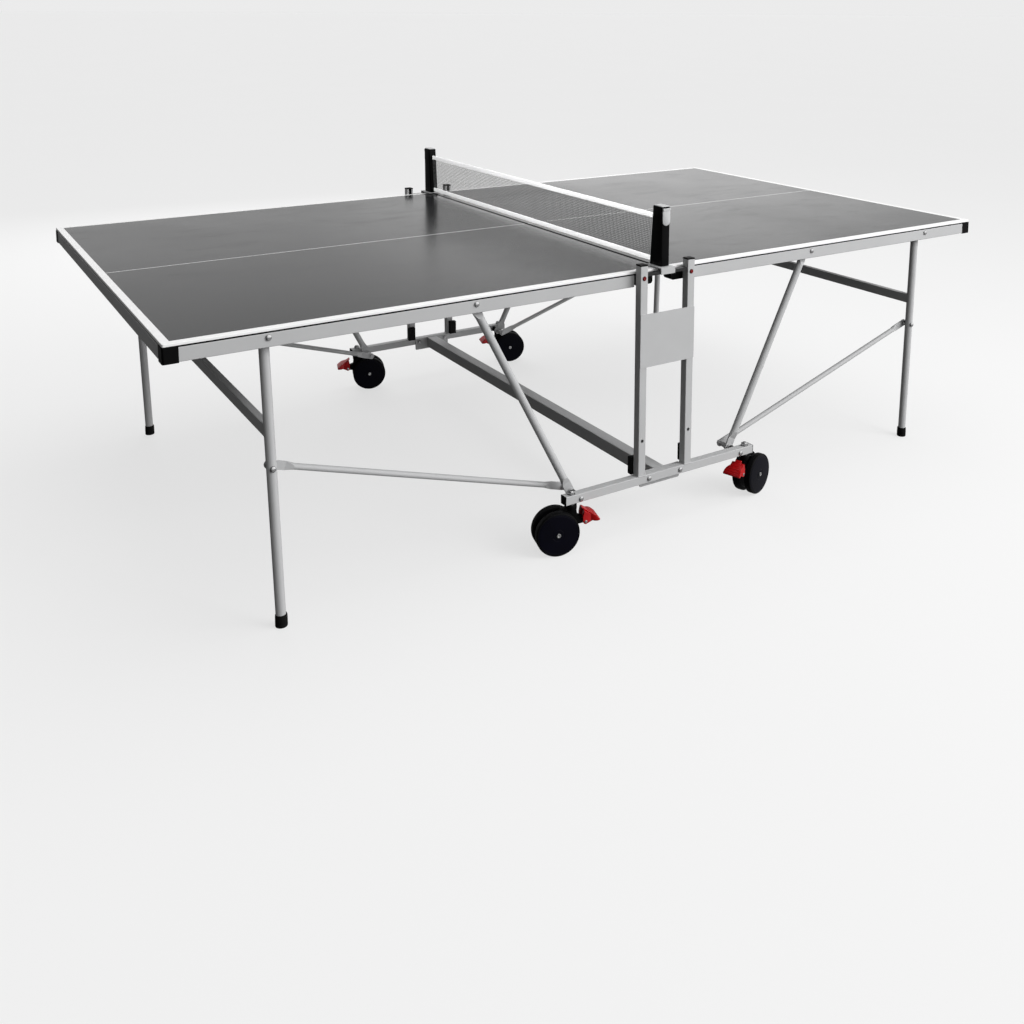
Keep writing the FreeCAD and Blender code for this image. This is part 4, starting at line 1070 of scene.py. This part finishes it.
def floor():
    g = Graph("studio_floor")
    cloud = g.noise(0.7, 3.0)
    g.set(Base_Color=g.mix(cloud, grey(0.218), grey(0.224)), Roughness=g.ramp(cloud, 0.3, 0.7, 0.80, 0.90))
    g.set(Emission_Color=(1.0, 1.0, 1.0, 1.0), Emission_Strength=FLOOR_GLOW, Specular_IOR_Level=0.1)
    mesh = bpy.data.meshes.new("studio_floor")
    corners = [
        (FLOOR_HALF * x, FLOOR_HALF * y, FLOOR_LEVEL) for x, y in ((-1, -1), (1, -1), (1, 1), (-1, 1))
    ]
    mesh.from_pydata(corners, [], [(0, 1, 2, 3)])
    mesh.materials.append(g.material)
    ground = bpy.data.objects.new("studio_floor", mesh)
    ground.visible_diffuse = False
    ground.visible_glossy = False
    bpy.context.scene.collection.objects.link(ground)


def world_light():
    """A white surround: dim below and on the left, with a bright soft patch behind the right half.
    Seen directly it is one even tone, like the floor."""
    world = bpy.data.worlds.new("studio")
    bpy.context.scene.world = world
    world.use_nodes = True
    tree = world.node_tree

    def add(kind, inputs, **settings):
        node = tree.nodes.new(kind)
        for key, value in settings.items():
            setattr(node, key, value)
        for key, value in inputs.items():
            if isinstance(value, bpy.types.NodeSocket):
                tree.links.new(value, node.inputs[key])
            else:
                node.inputs[key].default_value = value
        return node.outputs["Value"] if "Value" in node.outputs else node.outputs[0]

    def soft_step(value, low, high, top=1.0, bottom=0.0):
        inputs = {"Value": value, "From Min": low, "From Max": high, "To Min": bottom, "To Max": top}
        return add("ShaderNodeMapRange", inputs, interpolation_type="SMOOTHSTEP")

    def combine(operation, a, b):
        return add("ShaderNodeMath", {0: a, 1: b}, operation=operation)

    direction = tree.nodes.new("ShaderNodeTexCoord").outputs["Generated"]
    height = add("ShaderNodeVectorMath", {0: direction, 1: (0.0, 0.0, 1.0)}, operation="DOT_PRODUCT")
    slope = add("ShaderNodeVectorMath", {0: direction, 1: FRONT_SLOPE}, operation="DOT_PRODUCT")
    right = add("ShaderNodeVectorMath", {0: direction, 1: (1.0, 0.0, 0.0)}, operation="DOT_PRODUCT")
    shade = soft_step(right, -0.45, 0.05, 1.0, LEFT_SHARE)
    back = add("ShaderNodeVectorMath", {0: direction, 1: (0.0, 1.0, 0.0)}, operation="DOT_PRODUCT")
    behind = soft_step(back, 0.0, 0.6)
    toward = add("ShaderNodeVectorMath", {0: direction, 1: PATCH_TOWARD}, operation="DOT_PRODUCT")
    patch = combine("MULTIPLY", soft_step(toward, 0.940, 0.992, PATCH_LEVEL), soft_step(height, 0.02, 0.10))
    low_glow = soft_step(height, 0.29, 0.17, GLOW_LEVEL)
    rear = combine("ADD", combine("ADD", low_glow, REAR_LEVEL), patch)
    front = combine("MULTIPLY", combine("ADD", slope, FRONT_LEVEL), combine("SUBTRACT", 1.0, behind))
    level = combine("ADD", front, combine("MULTIPLY", rear, behind))
    below = soft_step(height, -0.20, 0.0, 1.0, BELOW_SHARE)
    level = combine("MULTIPLY", combine("MULTIPLY", level, shade), below)
    seen = tree.nodes.new("ShaderNodeLightPath").outputs["Is Camera Ray"]
    level = add("ShaderNodeMix", {0: seen, 2: level, 3: BACKDROP_LEVEL}, data_type="FLOAT")
    tree.links.new(level, tree.nodes["Background"].inputs["Strength"])
    tree.nodes["Background"].inputs["Color"].default_value = (1.0, 1.0, 1.0, 1.0)


def lamp(name, place, target, size, energy):
    data = bpy.data.lights.new(name, "AREA")
    data.shape = "RECTANGLE"
    data.size, data.size_y = size
    data.energy = energy
    holder = bpy.data.objects.new(name, data)
    holder.location = place
    holder.rotation_euler = (Vector(target) - Vector(place)).to_track_quat("-Z", "Y").to_euler()
    bpy.context.scene.collection.objects.link(holder)
    return holder


def lamps(tapes):
    """Large soft lamps at the near right and overhead, and one over the left half for the tapes alone."""
    soft_box = lamp("soft_box", (2.6, -4.2, 3.0), (0.2, 0.0, 0.6), (3.0, 2.0), 150.0)
    back_box = lamp("back_box", (0.6, 4.6, 2.2), (0.0, 0.0, 0.5), (3.0, 1.6), 70.0)
    for holder in (soft_box, back_box):
        holder.visible_glossy = False
    lamp("top_box", (0.3, 0.2, 4.2), (0.3, 0.2, 0.0), (4.5, 3.0), 38.0)
    tape_lamp = lamp("tape_lamp", (-1.1, -0.5, 2.0), (0.0, 0.0, 0.84), (1.6, 0.8), 46.0)
    lit = bpy.data.collections.new("lit_by_tape_lamp")
    lit.objects.link(tapes)
    tape_lamp.light_linking.receiver_collection = lit


def camera():
    """The camera stands low in front of the left half, a little above the playing surface."""
    data = bpy.data.cameras.new("camera")
    data.sensor_width = SENSOR
    data.lens = LENS
    data.shift_x = SHIFT_X
    data.shift_y = SHIFT_Y
    holder = bpy.data.objects.new("camera", data)
    azimuth, elevation = math.radians(CAMERA_AZIMUTH), math.radians(CAMERA_ELEVATION)
    roll = math.radians(CAMERA_ROLL)
    back = Vector((
        math.sin(azimuth) * math.cos(elevation), -math.cos(azimuth) * math.cos(elevation), math.sin(elevation)
    ))
    turn = (-back).to_track_quat("-Z", "Y").to_matrix().to_4x4() @ Matrix.Rotation(roll, 4, "Z")
    holder.matrix_world = Matrix.Translation(CAMERA_PLACE) @ turn
    bpy.context.scene.collection.objects.link(holder)
    bpy.context.scene.camera = holder


def main():
    bpy.context.scene.view_settings.view_transform = "Standard"
    finish_cad_nodes()
    tapes = build_net()
    for place in PLACES:
        caster_wheels(place)
        caster_housing(place)
        caster_pins(place)
        brake_lever(place)
        lock_button(place)
    for side in SIDES:
        foot_caps(side)
        bolts("frame_bolts_" + side, "half_" + side, "half_bolts_" + side)
        bolts("leg_bolts_" + side, "leg_frame_" + side, "rod_bolts_" + side)
        leg_welds(side)
    carriage_bolts()
    link_spacers()
    carriage_welds()
    floor()
    world_light()
    lamps(tapes)
    camera()


main()
